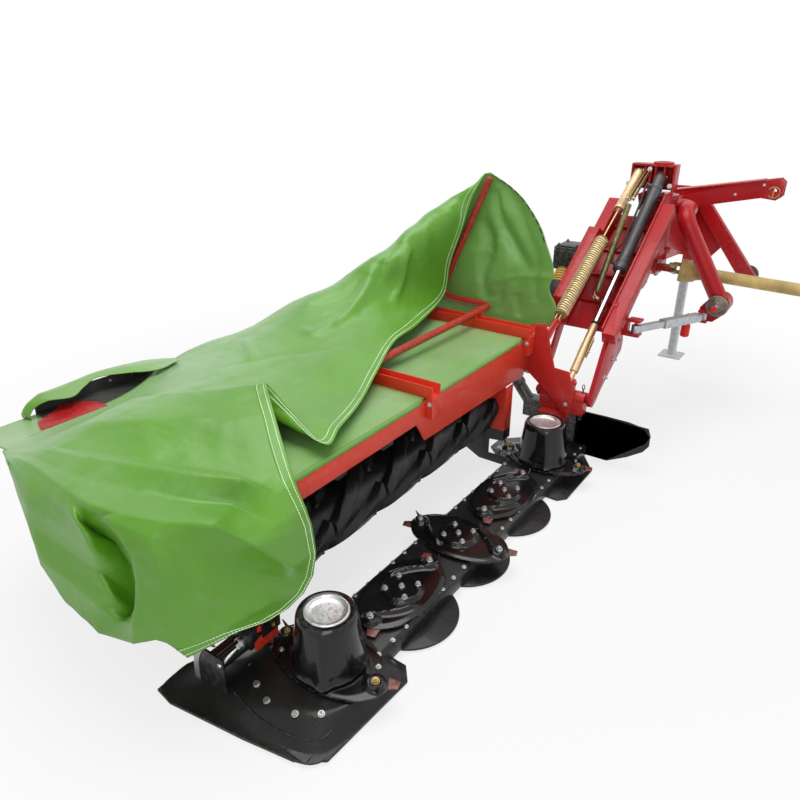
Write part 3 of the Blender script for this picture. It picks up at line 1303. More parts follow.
def pan(name, nodeName, centre, crownRadius, body, material):
    # rings from the crown down to the runner's outline
    s = panSizes
    outline = nodeOutline(nodeName, s["footTop"])
    verts = []
    for side in (1, -1):
        rows = range(1, s["rows"] + 1) if side > 0 else range(s["rows"], 0, -1)
        for i in rows:
            f = i / s["rows"]
            for k in range(s["steps"]):
                a = 2 * math.pi * k / s["steps"]
                reach = rayReach(centre, a, outline)
                r = f * reach
                z = panHeight(r, reach, crownRadius)
                if side < 0:
                    z = max(z - s["thickness"], 0.001 if f < 1 else 0.004)
                verts.append((centre[0] + r * math.cos(a), centre[1] + r * math.sin(a), z))
    faces = ringFaces(2 * s["rows"], s["steps"]) + endFaces(2 * s["rows"], s["steps"])
    obj = newMesh(name, verts, faces, material)
    tidyNormals(obj, 0.000001)
    return settle(sharpByAngle(obj, 40), body, nodeName)


def panLevel(centre, outline, crownRadius, x, y):
    away = Vector((x - centre[0], y - centre[1]))
    return panHeight(away.length, rayReach(centre, math.atan2(away.y, away.x), outline), crownRadius)


shoeSizes = {
    "crown": 0.17, "behindDisc": 0.02, "rivetSize": 0.0095, "stripRadius": 0.0035, "proud": 0.001,
    "rivets": [(-0.996, 0.128), (-1.02, 0.06), (-1.008, -0.046), (-0.966, -0.112)],
    "strip": [(-1.046, 0.175), (-1.062, 0.04), (-1.052, -0.06), (-1.0, -0.15), (-0.972, -0.155)],
}


def buildShoe():
    s = shoeSizes
    centre, outline = (discXs[0] - s["behindDisc"], 0.0), nodeOutline("outer_shoe", panSizes["footTop"])

    def onPan(x, y):
        return (x, y, panLevel(centre, outline, s["crown"], x, y) + s["proud"])

    pan("outerShoePan", "outer_shoe", centre, s["crown"], "cutter_unit", barBlack)
    rivets = [(onPan(x, y), (-0.25, 0, 1)) for x, y in s["rivets"]]
    bolts("shoeRivets", rivets, zincBright, "cutter_unit", s["rivetSize"], 1.2, 0.0)
    strip = [onPan(x, y) for x, y in s["strip"]]
    settle(tube("shoeStripEdge", strip, s["stripRadius"], barBlack, 8, 40), "cutter_unit")


buildShoe()

caseEdge = {"front": -0.108, "rear": 0.132, "stagger": 0.02, "step": 0.078, "start": 0.24, "spare": 0.2,
            "endGap": 0.06, "sunk": 0.0125, "size": 0.0068}


def buildCaseBolts():
    s = caseEdge
    low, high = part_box("cutterbar_case")
    count = int((high[0] - low[0] - s["spare"]) / s["step"])
    xs = [low[0] + s["start"] + k * s["step"] for k in range(count)]
    places = [
        ((x + shift, y, high[2] - s["sunk"]), (0, 0, 1))
        for x in xs if x < high[0] - s["endGap"]
        for y, shift in ((s["front"], 0.0), (s["rear"], s["stagger"]))
    ]
    bolts("caseBolts", places, zincBright, "cutter_unit", s["size"], 1.35, 0.3)


buildCaseBolts()


# swath board mount: curved stay, rubber bush, threaded stud
mountSizes = {"bush": (-0.945, 0.225, 0.165), "stud": 0.0085, "studLength": 0.075, "thread": 0.0025,
              "threadDepth": 0.0008, "nutTop": 0.043, "stayPoints": 15,
              "stayX": (-1.062, -1.054), "stayHalf": 0.012}


def buildSwathMount():
    s = mountSizes
    stay = []
    for k in range(s["stayPoints"]):
        t = k / (s["stayPoints"] - 1)
        y = 0.235 + 0.095 * t + 0.03 * math.sin(math.pi * t)
        z = 0.222 - 0.19 * t ** 1.4
        stay.append((y, z))
    verts, faces = [], []
    for x in s["stayX"]:
        for y, z in stay:
            verts += [(x, y - s["stayHalf"], z), (x, y + s["stayHalf"], z)]
    n = len(stay) * 2
    for k in range(len(stay) - 1):
        a = k * 2
        faces += [(a, a + 1, a + 3, a + 2), (n + a, n + a + 2, n + a + 3, n + a + 1)]
        faces += [(a, a + 2, n + a + 2, n + a), (a + 1, n + a + 1, n + a + 3, a + 3)]
    faces += [(0, n, n + 1, 1), (n - 2, n - 1, 2 * n - 1, 2 * n - 2)]
    blade = newMesh("stay", verts, faces, galvanised)
    tidyNormals(blade, 0.000001)
    centre = Vector(s["bush"])
    out = Vector((-1, -0.12, -0.1)).normalized()
    parts = [
        blade,
        lathe("bush", [(0, -0.06), (0.03, -0.06), (0.034, -0.05), (0.034, 0.005), (0.03, 0.012),
                       (0.017, 0.014), (0, 0.014)],
              centre, out, barBlack, 32),
        lathe("collar", [(0, 0.014), (0.02, 0.014), (0.021, 0.02), (0.021, 0.026), (0.018, 0.028),
                         (0, 0.028)],
              centre, out, zincBright, 24),
        lathe("nut", [(0, 0.028), (0.0155, 0.028), (0.0155, 0.041), (0.013, 0.043), (0, 0.043)],
              centre, out, zincBright, 6),
    ]
    ridge = []
    turns = int(s["studLength"] / s["thread"])
    for k in range(turns):
        foot = s["nutTop"] + k * s["thread"]
        ridge += [(s["stud"] - s["threadDepth"], foot), (s["stud"], foot + 0.0012)]
    tip = s["nutTop"] + turns * s["thread"] + 0.003
    parts.append(lathe("stud", [(0, 0.04)] + ridge + [(s["stud"] - 0.003, tip), (0, tip)], centre, out,
                       zincBright, 24))
    parts.append(plate("footPlate", [(0, 0), (0.135, 0), (0.135, 0.03), (0.02, 0.09), (0, 0.09)],
                       (-1, 0, 0), (0, 0, 1), (-0.905, 0.262, 0.082), 0.008, barBlack))
    parts.append(plate("redStep", [(0, 0), (0.1, 0), (0.1, 0.088), (0.02, 0.088), (0, 0.06)],
                       (1, 0, 0), (0, 0, 1), (-0.925, 0.205, 0.108), 0.008, frameRed))
    settle(joinAll("swathMount", parts), "cutter_unit", "swath_mount")
    bolts("swathMountBolts", [((-0.95, 0.203, 0.06), (0, -1, 0.5)), ((-0.85, 0.196, 0.17), (0, -1, 0))],
          zincGold, "cutter_unit", 0.009)


buildSwathMount()
print("cutter bar made")


# inner end wall of the cover: a limp sheet laced to the roof's edge
wallSizes = {
    "linePoints": 6, "cells": 15, "cellSize": 0.010, "crumple": ((15.0, 11, 0.007), (45.0, 12, 0.0022)),
    "inward": 0.007, "hoopGap": 0.0025,
}
# each line runs from the front edge to the rear one, from the peak down
wallStations = [
    [(1.118, .540, 1.374), (1.118, .548, 1.374), (1.117, .556, 1.373), (1.117, .564, 1.371),
     (1.117, .572, 1.368)],
    [(1.122, .413, 1.305), (1.130, .470, 1.322), (1.128, .530, 1.325), (1.124, .580, 1.320),
     (1.122, .628, 1.310)],
    [(1.121, .276, 1.171), (1.132, .390, 1.190), (1.110, .470, 1.205), (1.132, .590, 1.210),
     (1.122, .770, 1.195)],
    [(1.122, .215, 1.060), (1.134, .330, 1.070), (1.118, .430, 1.080), (1.134, .600, 1.090),
     (1.122, .900, 1.075)],
    [(1.124, .166, .921), (1.135, .290, .925), (1.130, .430, .935), (1.114, .580, .945),
     (1.122, 1.030, .945)],
    [(1.121, .180, .845), (1.134, .300, .846), (1.136, .430, .850), (1.110, .570, .856),
     (1.122, 1.090, .875)],
    [(1.118, .136, .762), (1.130, .270, .757), (1.136, .400, .758), (1.116, .560, .770),
     (1.122, 1.190, .790)],
    [(1.112, .142, .655), (1.118, .250, .612), (1.126, .390, .606), (1.122, .560, .612),
     (1.122, 1.270, .640)],
]
wallFolds = [
    ([(1.12, .517, 1.297), (1.12, .456, 1.132), (1.12, .365, .996), (1.12, .301, .909)], -.026, .030,
     False),
    ([(1.12, .574, 1.149), (1.12, .525, 1.036), (1.12, .557, .848), (1.12, .524, .726)], -.030, .034,
     False),
    ([(1.12, .470, 1.06), (1.12, .44, .95), (1.12, .46, .82)], .016, .045, False),
    ([(1.12, .514, .847), (1.12, .355, .878), (1.12, .166, .906)], .010, .016, False),
    ([(1.12, .362, .790), (1.12, .345, .735), (1.12, .338, .668)], -.018, .022, False),
    ([(1.12, .250, .990), (1.12, .262, .880), (1.12, .250, .760)], -.012, .020, False),
    ([(1.12, .450, .800), (1.12, .446, .735), (1.12, .452, .670)], -.014, .018, False),
    ([(1.12, .560, 1.00), (1.12, .50, .96), (1.12, .46, .97)], .007, .010, True),
    ([(1.12, .395, 1.26), (1.12, .335, 1.12), (1.12, .255, .98)], -.008, .022, False),
]


def faceAway(grid, normals, direction):
    middle = normals[grid.shape[0] // 2, grid.shape[1] // 2]
    return normals if middle @ np.array(direction) > 0 else -normals


def buildWall():
    s = wallSizes
    stations = [evenPoints(line, s["linePoints"]) for line in wallStations]
    grid = sheetSurface(stations, [0.0] * len(stations), s["cells"], s["cellSize"])
    grid = foldSurface(grid, wallFolds)
    normals = faceAway(grid, gridNormals(grid), (1, 0, 0))
    calm = np.minimum(1, np.linspace(0, 6, grid.shape[0]))
    grid = grid + normals * (crumple(grid, s["crumple"]) * calm[:, None])[..., None]
    # the sheet hangs clear of the hoop, on its inner side
    grid[:, :, 0] = np.maximum(grid[:, :, 0] + s["inward"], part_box("guard_hoop")[1][0] + s["hoopGap"])
    obj = clothPiece("innerWall", grid, tarpInside)
    return thicken(obj, sheetSizes["thickness"]), grid


innerWall, wallGrid = buildWall()
laceSizes = {"count": 9, "first": 0.07, "step": 0.044, "length": 0.024, "radius": 0.0024, "proud": 0.0022}


def buildLacing():
    # dark cord loops that tie the wall to the roof along its front edge
    s = laceSizes
    edge = wallGrid[:, 1] - np.array([s["proud"], 0, 0])
    run = lengthsAlong(edge)
    loops = []
    for k in range(s["count"]):
        at = s["first"] + s["step"] * k
        a, b = pointsAt([at, at + s["length"]], run, edge)
        path = [a + (.004, .004, -.002), a, (a + b) / 2 + (-.002, 0, 0), b, b + (.004, .004, -.002)]
        loops.append(tube(f"lace{k}", path, s["radius"], laceBlack, 6, 12))
    return joinAll("wallLacing", loops)


wallLacing = buildLacing()

# deck sheet over the cover frame, rolled over the beam's front edge
deckSizes = {
    "roll": 0.0075, "billow": 0.016, "wrinkle": 0.005, "over": 0.0006, "frontGap": 0.006, "channelIn": 0.030,
    "across": 170, "along": 64, "rollRows": 7, "rollTurn": 0.62,
}


def buildDeck():
    s = deckSizes
    low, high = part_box("tarp_deck")
    channelLow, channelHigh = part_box("cover_channels")
    channelXs = (channelLow[0] + s["channelIn"], channelHigh[0] - s["channelIn"])
    front, top, rollRows = low[1] + s["frontGap"], high[2] + s["over"], s["rollRows"]
    xs = np.linspace(low[0] + 0.004, high[0] - 0.002, s["across"])
    ys = np.concatenate([
        front + 0.02 * np.linspace(0, 1, 6), np.linspace(low[1] + 0.035, high[1] - 0.004, s["along"]),
    ])
    grid = np.empty((len(xs), len(ys) + rollRows, 3))
    for i, x in enumerate(xs):
        # the sheet lies tight by the channels and billows between them
        free = float(smoothStep(min(abs(x - c) for c in channelXs), 0.032, 0.075))
        edge = np.exp(-((x - channelXs[1] + 0.09) / 0.055) ** 2)
        edge += 0.7 * np.exp(-((x - channelXs[0] - 0.1) / 0.07) ** 2)
        for j, y in enumerate(ys):
            rear = float(smoothStep(y, 0.205, 0.30) * smoothStep(high[1] - y, 0.0, 0.25))
            rise = s["billow"] * rear * free
            rise *= 0.55 + 0.45 * math.sin(3.2 * x + 5.1 * y) * math.cos(4.0 * y - 1.7 * x)
            fold = edge * 0.011 * math.exp(-(((y - 0.33) - 0.35 * (x - 0.8)) / 0.035) ** 2) * free
            grid[i, j + rollRows] = (x, y, top + rise + fold)
        lip = s["roll"] * free
        for k in range(rollRows):
            t = 1 - k / (rollRows - 1)
            angle = t * math.pi * s["rollTurn"]
            grid[i, k] = (x, front - lip * math.sin(angle) - 0.001 * t * free,
                          top - lip * (1 - math.cos(angle)) - 0.012 * max(0.0, t - 0.55) * free)
    normals = faceAway(grid, gridNormals(grid), (0, 0, 1))
    wrinkle = crumple(grid, ((13.0, 21, s["wrinkle"]),))
    calm = np.clip((grid[..., 1] - 0.20) / 0.08, 0, 1) * np.clip((1.29 - grid[..., 1]) / 0.05, 0, 1)
    nearest = np.minimum(abs(grid[..., 0] - channelXs[0]), abs(grid[..., 0] - channelXs[1]))
    calm = calm * smoothStep(nearest, 0.034, 0.09)
    grid = grid + normals * (np.maximum(wrinkle, -0.001) * calm)[..., None]
    obj = clothPiece("deckSheet", grid, tarpDeck)
    return thicken(obj, sheetSizes["thickness"], 1.0 if normals[5, 30, 2] > 0 else -1.0)


deckSheet = buildDeck()

# loose strip of the cover's rear edge, curled over at its outer end
flapStations = [
    [(-.343, 1.238, .692), (-.350, 1.215, .700), (-.356, 1.195, .704), (-.362, 1.176, .708)],
    [(-.440, 1.292, .692), (-.450, 1.255, .706), (-.460, 1.205, .710), (-.470, 1.160, .706)],
    [(-.545, 1.318, .690), (-.550, 1.290, .706), (-.556, 1.250, .710), (-.560, 1.219, .704)],
    [(-.660, 1.326, .688), (-.668, 1.312, .704), (-.674, 1.290, .707), (-.682, 1.270, .702)],
    [(-.760, 1.322, .688), (-.758, 1.295, .706), (-.756, 1.270, .705), (-.752, 1.243, .700)],
    [(-.850, 1.318, .686), (-.842, 1.290, .706), (-.836, 1.255, .704), (-.826, 1.204, .700)],
    [(-.925, 1.314, .684), (-.918, 1.290, .704), (-.914, 1.265, .702), (-.908, 1.240, .698)],
    [(-.962, 1.310, .676), (-.958, 1.292, .692), (-.954, 1.275, .690), (-.948, 1.258, .684)],
    [(-.972, 1.306, .652), (-.972, 1.290, .664), (-.970, 1.276, .662), (-.966, 1.260, .658)],
    [(-.950, 1.302, .630), (-.952, 1.288, .640), (-.952, 1.276, .640), (-.950, 1.262, .636)],
]


flapSizes = {"linePoints": 6, "cells": 5, "cellSize": 0.010, "crumple": ((30.0, 31, 0.003),)}


def buildFlap():
    s = flapSizes
    stations = [evenPoints(line, s["linePoints"]) for line in flapStations]
    grid = sheetSurface(stations, [0.0] * len(stations), s["cells"], s["cellSize"])
    normals = faceAway(grid, gridNormals(grid), (0, 0, 1))
    grid = grid + normals * crumple(grid, s["crumple"])[..., None]
    # all but the curled end is raised over the apron, more towards the rear
    flat = np.clip((grid[..., 0] + 0.96) / 0.06, 0, 1)
    grid[..., 2] += flat * (0.004 + 0.016 * np.clip((grid[..., 1] - 1.2) / 0.1, 0, 1))
    return thicken(clothPiece("rearFlap", grid, tarpDeck), sheetSizes["thickness"])


rearFlap = buildFlap()

apronSizes = {
    "wall": [(-0.930, 0.0), (-0.930, 0.030), (-0.86, 0.052), (-0.70, 0.058), (-0.48, 0.052), (-0.40, 0.02),
             (-0.40, 0.0)],
    "foot": [(-0.930, 1.16), (-0.40, 1.16), (-0.40, 1.292), (-0.930, 1.292)],
    "bracket": [(-1.00, 1.12), (-0.74, 1.12), (-0.745, 1.185), (-0.798, 1.259), (-0.838, 1.285),
                (-0.885, 1.238),
                (-0.97, 1.203)],
    "boltXs": (-0.52, -0.62, -0.78),
}


def buildUnderFlap():
    # black apron and red corner bracket under the loose strip
    s = apronSizes
    east, north, up = (1, 0, 0), (0, 1, 0), (0, 0, 1)
    apron = plate("rearApron", s["wall"], east, up, (0, 1.290, 0.646), 0.005, hoodRubber, 0.001)
    floor = plate("apronFoot", s["foot"], east, north, (0, 0, 0.6525), 0.004, hoodRubber, 0.001)
    settle(joinAll("hoodApron", [apron, floor]), "cutter_unit")
    bracket = plate("cornerBracket", s["bracket"], east, north, (0, 0, 0.6575), 0.005, armRed, 0.001)
    settle(joinAll("cornerBracket", [bracket]), "cutter_unit")
    places = [((x, 1.2875, 0.682), (0, -1, 0)) for x in s["boltXs"]]
    bolts("apronBolts", places, zincBright, "cutter_unit", 0.006)


buildUnderFlap()

shieldSizes = {"sideGap": 0.004, "rollGap": 0.022, "foot": 0.09, "topGap": 0.002, "thickness": 0.005}


def buildCropShield():
    # black shield behind the rolls, from side plate to side plate
    s = shieldSizes
    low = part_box("conditioner_side_outer")[1][0] + s["sideGap"]
    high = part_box("conditioner_side_inner")[0][0] - s["sideGap"]
    y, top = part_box("roll_upper")[1][1] + s["rollGap"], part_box("cover_frame")[0][2] - s["topGap"]
    outline = [(low, s["foot"]), (high, s["foot"]), (high, top), (low, top)]
    shield = plate("cropShield", outline, (1, 0, 0), (0, 0, 1), (0, y, 0), s["thickness"], hoodRubber,
                   0.001)
    settle(joinAll("cropShield", [shield]), "cutter_unit")


buildCropShield()


def settleCover():
    # the roof, its stitches and the end wall lean with the hoop; the rest stays
    for obj in (coverTarp, tarpStitches, innerWall, wallLacing):
        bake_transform(obj)
    for obj in (deckSheet, rearFlap):
        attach(obj, "cutter_unit")
    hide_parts("tarp_roof", "tarp_outer_drape")
    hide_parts("tarp_inner_drape")
    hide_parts("tarp_deck")


settleCover()
print("cover sheets settled")


# springs, cylinder, gear drive and hitch details
axes = {
    # top and low pins of each long member, in the frame's metres
    "cylinder": ((2.072, -0.020, 1.302), (1.004, -0.020, 0.432)),
    "spring": ((2.066, 0.097, 1.330), (1.062, 0.097, 0.712)),
    "guide": ((1.735, 0.032, 1.194), (1.400, 0.032, 0.792)),
    "shaft": ((2.150, -0.125, 0.790), (2.29486, -0.80158, 0.73290)),
}
sideways = Vector((0, 1, 0))


def axisEnds(name):
    # both ends, the way between them and its length
    a, b = (Vector(p) for p in axes[name])
    return a, b, (b - a).normalized(), (b - a).length


def onAxis(name, distance):
    start, _, way, _ = axisEnds(name)
    return start + way * distance


def turned(name, profile, axis, material, steps=40):
    start, _, way, _ = axisEnds(axis)
    return lathe(name, profile, start, way, material, steps)


def pin(name, radius, edge, centre, material):
    # a round pin across the machine, with its edges broken
    half = [(0, 0.036), (radius - edge, 0.036), (radius, 0.034)]
    return lathe(name, [(r, -h) for r, h in half] + half[::-1], centre, sideways, material, 24)


springSizes = {"coilRadius": 0.0312, "wire": 0.0048, "pitch": 0.0150, "length": 0.560, "foot": 0.040,
               "endGap": 0.012, "tube": 0.0262, "rod": 0.005,
               "cheeks": (-0.012, 0.008), "cheekThickness": 0.005}


def buildBalanceSpring():
    s = springSizes
    top, _, way, run = axisEnds("spring")
    first, last = run - s["foot"] - s["length"], run - s["foot"]
    gap = s["endGap"]
    winding = coil("winding", onAxis("spring", first + gap), onAxis("spring", last - gap), s["coilRadius"],
                   s["wire"], round((s["length"] - 2 * gap) / s["pitch"]), springGold)
    core = turned("core", [
        (0.0262, first), (0.0312, first + 0.002), (0.0328, first + 0.012), (0.0305, first + 0.016),
        (0.0285, first + 0.02), (0.0285, last - 0.02), (0.0305, last - 0.016), (0.0328, last - 0.012),
        (0.0308, last - 0.004), (0.028, last), (0.0, last), (0.0, last - 0.01), (0.0245, last - 0.01),
        (0.0245, first), (0.0262, first),
    ], "spring", springCore)
    across = way.cross(sideways)
    outline = [(-0.014, 0), (0.014, 0), (0.013, 0.036), (0.008, 0.046), (0, 0.049), (-0.008, 0.046),
               (-0.013, 0.036)]
    cheeks = [
        plate(f"cheek{k}", outline, across, way, onAxis("spring", last - 0.004) + sideways * y,
              s["cheekThickness"],
              zincGold)
        for k, y in enumerate(s["cheeks"])
    ]
    settle(joinAll("balanceSpring", [winding, core] + cheeks), "spring_lower", "balance_spring")
    rings = [
        (0.0, -0.030), (0.011, -0.030), (0.0165, -0.026), (0.019, -0.018), (0.0235, 0.012), (0.0274, 0.014),
        (0.028, 0.017), (0.028, 0.044), (0.0274, 0.047), (s["tube"], 0.049), (s["tube"], 0.319),
        (0.0276, 0.321), (0.0276, 0.336), (0.0262, 0.340), (0.012, 0.341), (0.0098, 0.344), (0.0098, 0.349),
        (s["rod"], 0.350), (s["rod"], first + 0.17), (0.0, first + 0.172),
    ]
    tubePart = turned("tube", rings, "spring", zincTan)
    head = lathe("pinHead", [(0, 0.036), (0.016, 0.036), (0.016, 0.045), (0.013, 0.047), (0, 0.047)],
                 top, -sideways, zincGold, 6)
    parts = [tubePart, pin("pin", 0.012, 0.0015, top, zincGold), head]
    settle(joinAll("springTube", parts), "spring_upper", "spring_tube")


buildBalanceSpring()

guideSizes = {"coilRadius": 0.0134, "wire": 0.0026, "pitch": 0.0086}


def buildGuideSpring():
    g = guideSizes
    a, b, way, run = axisEnds("guide")
    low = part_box("guide_spring")[0]
    winding = coil("winding", a, b, g["coilRadius"], g["wire"], round(run / g["pitch"]), springOlive)
    core = turned("core", [(0.0, 0.004), (0.0112, 0.006), (0.0112, run - 0.006), (0.0, run - 0.004)],
                  "guide", darkSteel, 20)
    hooks = []
    for k, (p, sign) in enumerate(((a, -1), (b, 1))):
        loop = [p + way * sign * d + Vector((0, y, 0)) for d, y in (
            (-0.004, 0.011), (0.010, 0.010), (0.022, 0.0), (0.032, -0.008), (0.040, 0.0),
            (0.034, 0.009), (0.022, 0.004))]
        hooks.append(tube(f"hook{k}", loop, g["wire"] * 1.25, springOlive, 8, 26))
    anchor = Vector((2.042, 0.046, 1.340))
    foot = Vector((low[0] + 0.006, 0.022, low[2] + 0.008))
    straps = []
    for k, (p, q, w) in enumerate(((a - way * 0.030, anchor, 0.013), (b + way * 0.030, foot, 0.012))):
        length, ahead = (q - p).length, (q - p).normalized()
        across = ahead.cross(sideways).normalized()
        for j, y in enumerate((-0.011, 0.007)):
            outline = [(0, -w), (0.012, -w * 1.15), (length - 0.012, -w * 0.8), (length, 0),
                       (length - 0.012, w * 0.8), (0.012, w * 1.15), (0, w)]
            straps.append(plate(f"strap{k}{j}", outline, ahead, across, p + sideways * y, 0.003, zincGold,
                                0.0008))
    settle(joinAll("guideSpring", [winding, core] + hooks + straps), "arm", "guide_spring")
    top, foot = a - way * 0.036, b + way * 0.036
    ends = [(top, 0.013, 1), (top, -0.012, -1), (foot, -0.012, -1)]
    places = [(tuple(end + sideways * out), (0, sign, 0)) for end, out, sign in ends]
    bolts("guideSpringBolts", places, zincBright, "arm", 0.007)


buildGuideSpring()


cylinderSizes = {"end": 0.674, "ports": (0.092, 0.646), "pipe": 0.0062}


def buildCylinder():
    s = cylinderSizes
    end = s["end"]
    barrel = turned("barrel", [
        (0.0, -0.036), (0.018, -0.034), (0.029, -0.026), (0.0345, -0.012), (0.036, 0.01),
        (0.036, 0.02), (0.0325, 0.05),
        (0.032, 0.075), (0.0355, 0.079), (0.0355, 0.10), (0.0325, 0.104), (0.0325, end - 0.075),
        (0.0355, end - 0.071),
        (0.0358, end - 0.052), (0.0338, end - 0.049), (0.0338, end - 0.044), (0.0358, end - 0.041),
        (0.0358, end - 0.012),
        (0.0345, end - 0.006), (0.028, end - 0.004), (0.028, end), (0.0, end),
    ], "cylinder", gearGrey, 48)
    top, _, way, _ = axisEnds("cylinder")
    up = way.cross(sideways).normalized()
    up = up if up.z > 0 else -up
    out = (up * 0.55 + sideways * 0.6).normalized()
    parts = [barrel, pin("pin", 0.013, 0.001, top, zincBright)]
    for k, port in enumerate(s["ports"]):
        base = onAxis("cylinder", port)
        parts.append(lathe(f"port{k}", [(0, 0.02), (0.0115, 0.02), (0.0115, 0.043), (0.009, 0.045),
                                        (0.009, 0.05),
                                       (0.0105, 0.05), (0.0105, 0.06), (0.008, 0.062),
                                       (0, 0.062)], base, out, darkSteel, 20))
    # the pipe's points: distance along the cylinder and height over its axis
    route = ((end - 0.028, 0.056), (end - 0.07, 0.067), (end - 0.15, 0.050), (0.40, 0.046), (0.25, 0.047),
             (0.15, 0.056), (0.092, 0.058))
    parts.append(tube("feedPipe", [onAxis("cylinder", at) + out * h for at, h in route], s["pipe"],
                      barBlack, 10, 60))
    settle(joinAll("liftBarrel", parts), "cylinder_barrel", "lift_barrel")


buildCylinder()


def buildRod():
    top, foot, way, run = axisEnds("cylinder")
    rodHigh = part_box("lift_rod")[1]
    start = (Vector((rodHigh[0], top.y, rodHigh[2])) - top).length + 0.004
    chrome = turned("chrome", [(0.0, start), (0.0175, start + 0.002), (0.0178, start + 0.004),
                               (0.0178, 1.02), (0.0, 1.02)],
                    "cylinder", chromeRod, 36)
    band = turned("band", [(0.0178, 1.012), (0.0215, 1.013), (0.0222, 1.017), (0.0222, 1.026),
                           (0.0, 1.028)],
                  "cylinder", laceBlack, 36)
    sleeve = turned("sleeve", [
        (0.0, 1.026), (0.0185, 1.026), (0.0205, 1.029), (0.0208, 1.16), (0.0208, run - 0.066),
        (0.0198, run - 0.062),
        (0.0142, run - 0.060), (0.0142, run - 0.020), (0.0, run - 0.020),
    ], "cylinder", zincTan, 36)
    eye = lathe("eye", [(0.0133, -0.0172), (0.0205, -0.0172), (0.0225, -0.015), (0.0225, 0.015),
                        (0.0205, 0.0172), (0.0133, 0.0172), (0.0133, -0.0172)],
                foot, sideways, zincTan, 32)
    across = way.cross(sideways).normalized()
    latch = []
    for k, (at, length, width, y) in enumerate(((1.10, 0.125, 0.013, -0.0245), (1.14, 0.08, 0.010, 0.021))):
        outline = [(0, -width), (length * 0.8, -width), (length, -width * 0.2), (length * 0.93, width),
                   (0.01, width)]
        latch.append(plate(f"latch{k}", outline, way, across, onAxis("cylinder", at) + sideways * y, 0.003,
                           zincGold, 0.0008))
    settle(joinAll("liftRod", [chrome, band, sleeve, eye] + latch), "cylinder_rod", "lift_rod")
    places = [(tuple(onAxis("cylinder", at) + sideways * -0.0245 + across * d), (0, -1, 0))
              for at, d in ((1.12, 0.0), (1.185, 0.004))]
    bolts("latchBolts", places, zincBright, "cylinder_rod", 0.0062)


buildRod()
print("springs and cylinder made")


bootSizes = {"top": (1.600, 0.290, 0.842), "foot": (1.440, 0.292, 0.690), "length": 0.115, "rings": 7,
             "valley": 0.043, "crest": 0.049, "lidCentre": (1.640, 0.285), "faceLevel": 0.900}


def ringedBoot():
    # yellow ringed boot and its dark cup under the gearbox, along the drive
    s = bootSizes
    low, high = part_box("transfer_gearbox")
    top, length = Vector(s["top"]), s["length"]
    way = (Vector(s["foot"]) - top).normalized()
    profile = [(0.0, 0.0)]
    for k in range(s["rings"]):
        h = 0.004 + k * length / s["rings"]
        profile += [(s["valley"], h), (s["crest"], h + 0.004), (s["crest"], h + 0.009),
                    (s["valley"], h + 0.0125)]
    profile += [(0.0, length)]
    boot = lathe("boot", profile, top, way, bootYellow, 44)
    cup = lathe("cup", [(0, length - 0.004), (0.053, length), (0.054, length + 0.02),
                        (0.047, length + 0.07), (0.034, length + 0.1), (0, length + 0.1)],
                top, way, hoodRubber, 44)
    settle(joinAll("driveBoot", [boot, cup]), "arm")
    (x, y), z = s["lidCentre"], s["faceLevel"]
    lid = plate("lid", [(-0.072, -0.062), (0.072, -0.062), (0.072, 0.062), (-0.072, 0.062)], (1, 0, 0),
                (0, 1, 0),
                (x, y, high[2]), 0.009, gearBlack, 0.003)
    face = plate("face", [(-0.066, -0.045), (0.066, -0.045), (0.066, 0.045), (-0.066, 0.045)], (0, -1, 0),
                 (0, 0, 1),
                 (low[0] + 0.001, y, z), 0.009, gearBlack, 0.003)
    settle(joinAll("gearboxLids", [lid, face]), "arm")
    corners = [(a, b) for a in (-1, 1) for b in (-1, 1)]
    lidBolts = [((x + a * 0.062, y + b * 0.052, high[2] + 0.008), (0, 0, 1)) for a, b in corners]
    lidBolts += [((low[0] - 0.007, y + a * 0.055, z + b * 0.035), (-1, 0, 0)) for a, b in corners]
    bolts("gearboxBolts", lidBolts, darkSteel, "arm", 0.0075)


ringedBoot()

shaftSizes = {"cone": 0.066, "tube": 0.035, "coneStart": 0.058, "coneEnd": 0.18, "tubeEnd": 0.82,
              "crosses": (0.030, 0.985), "hubReach": 0.040, "earOut": 0.026, "earThickness": 0.009}


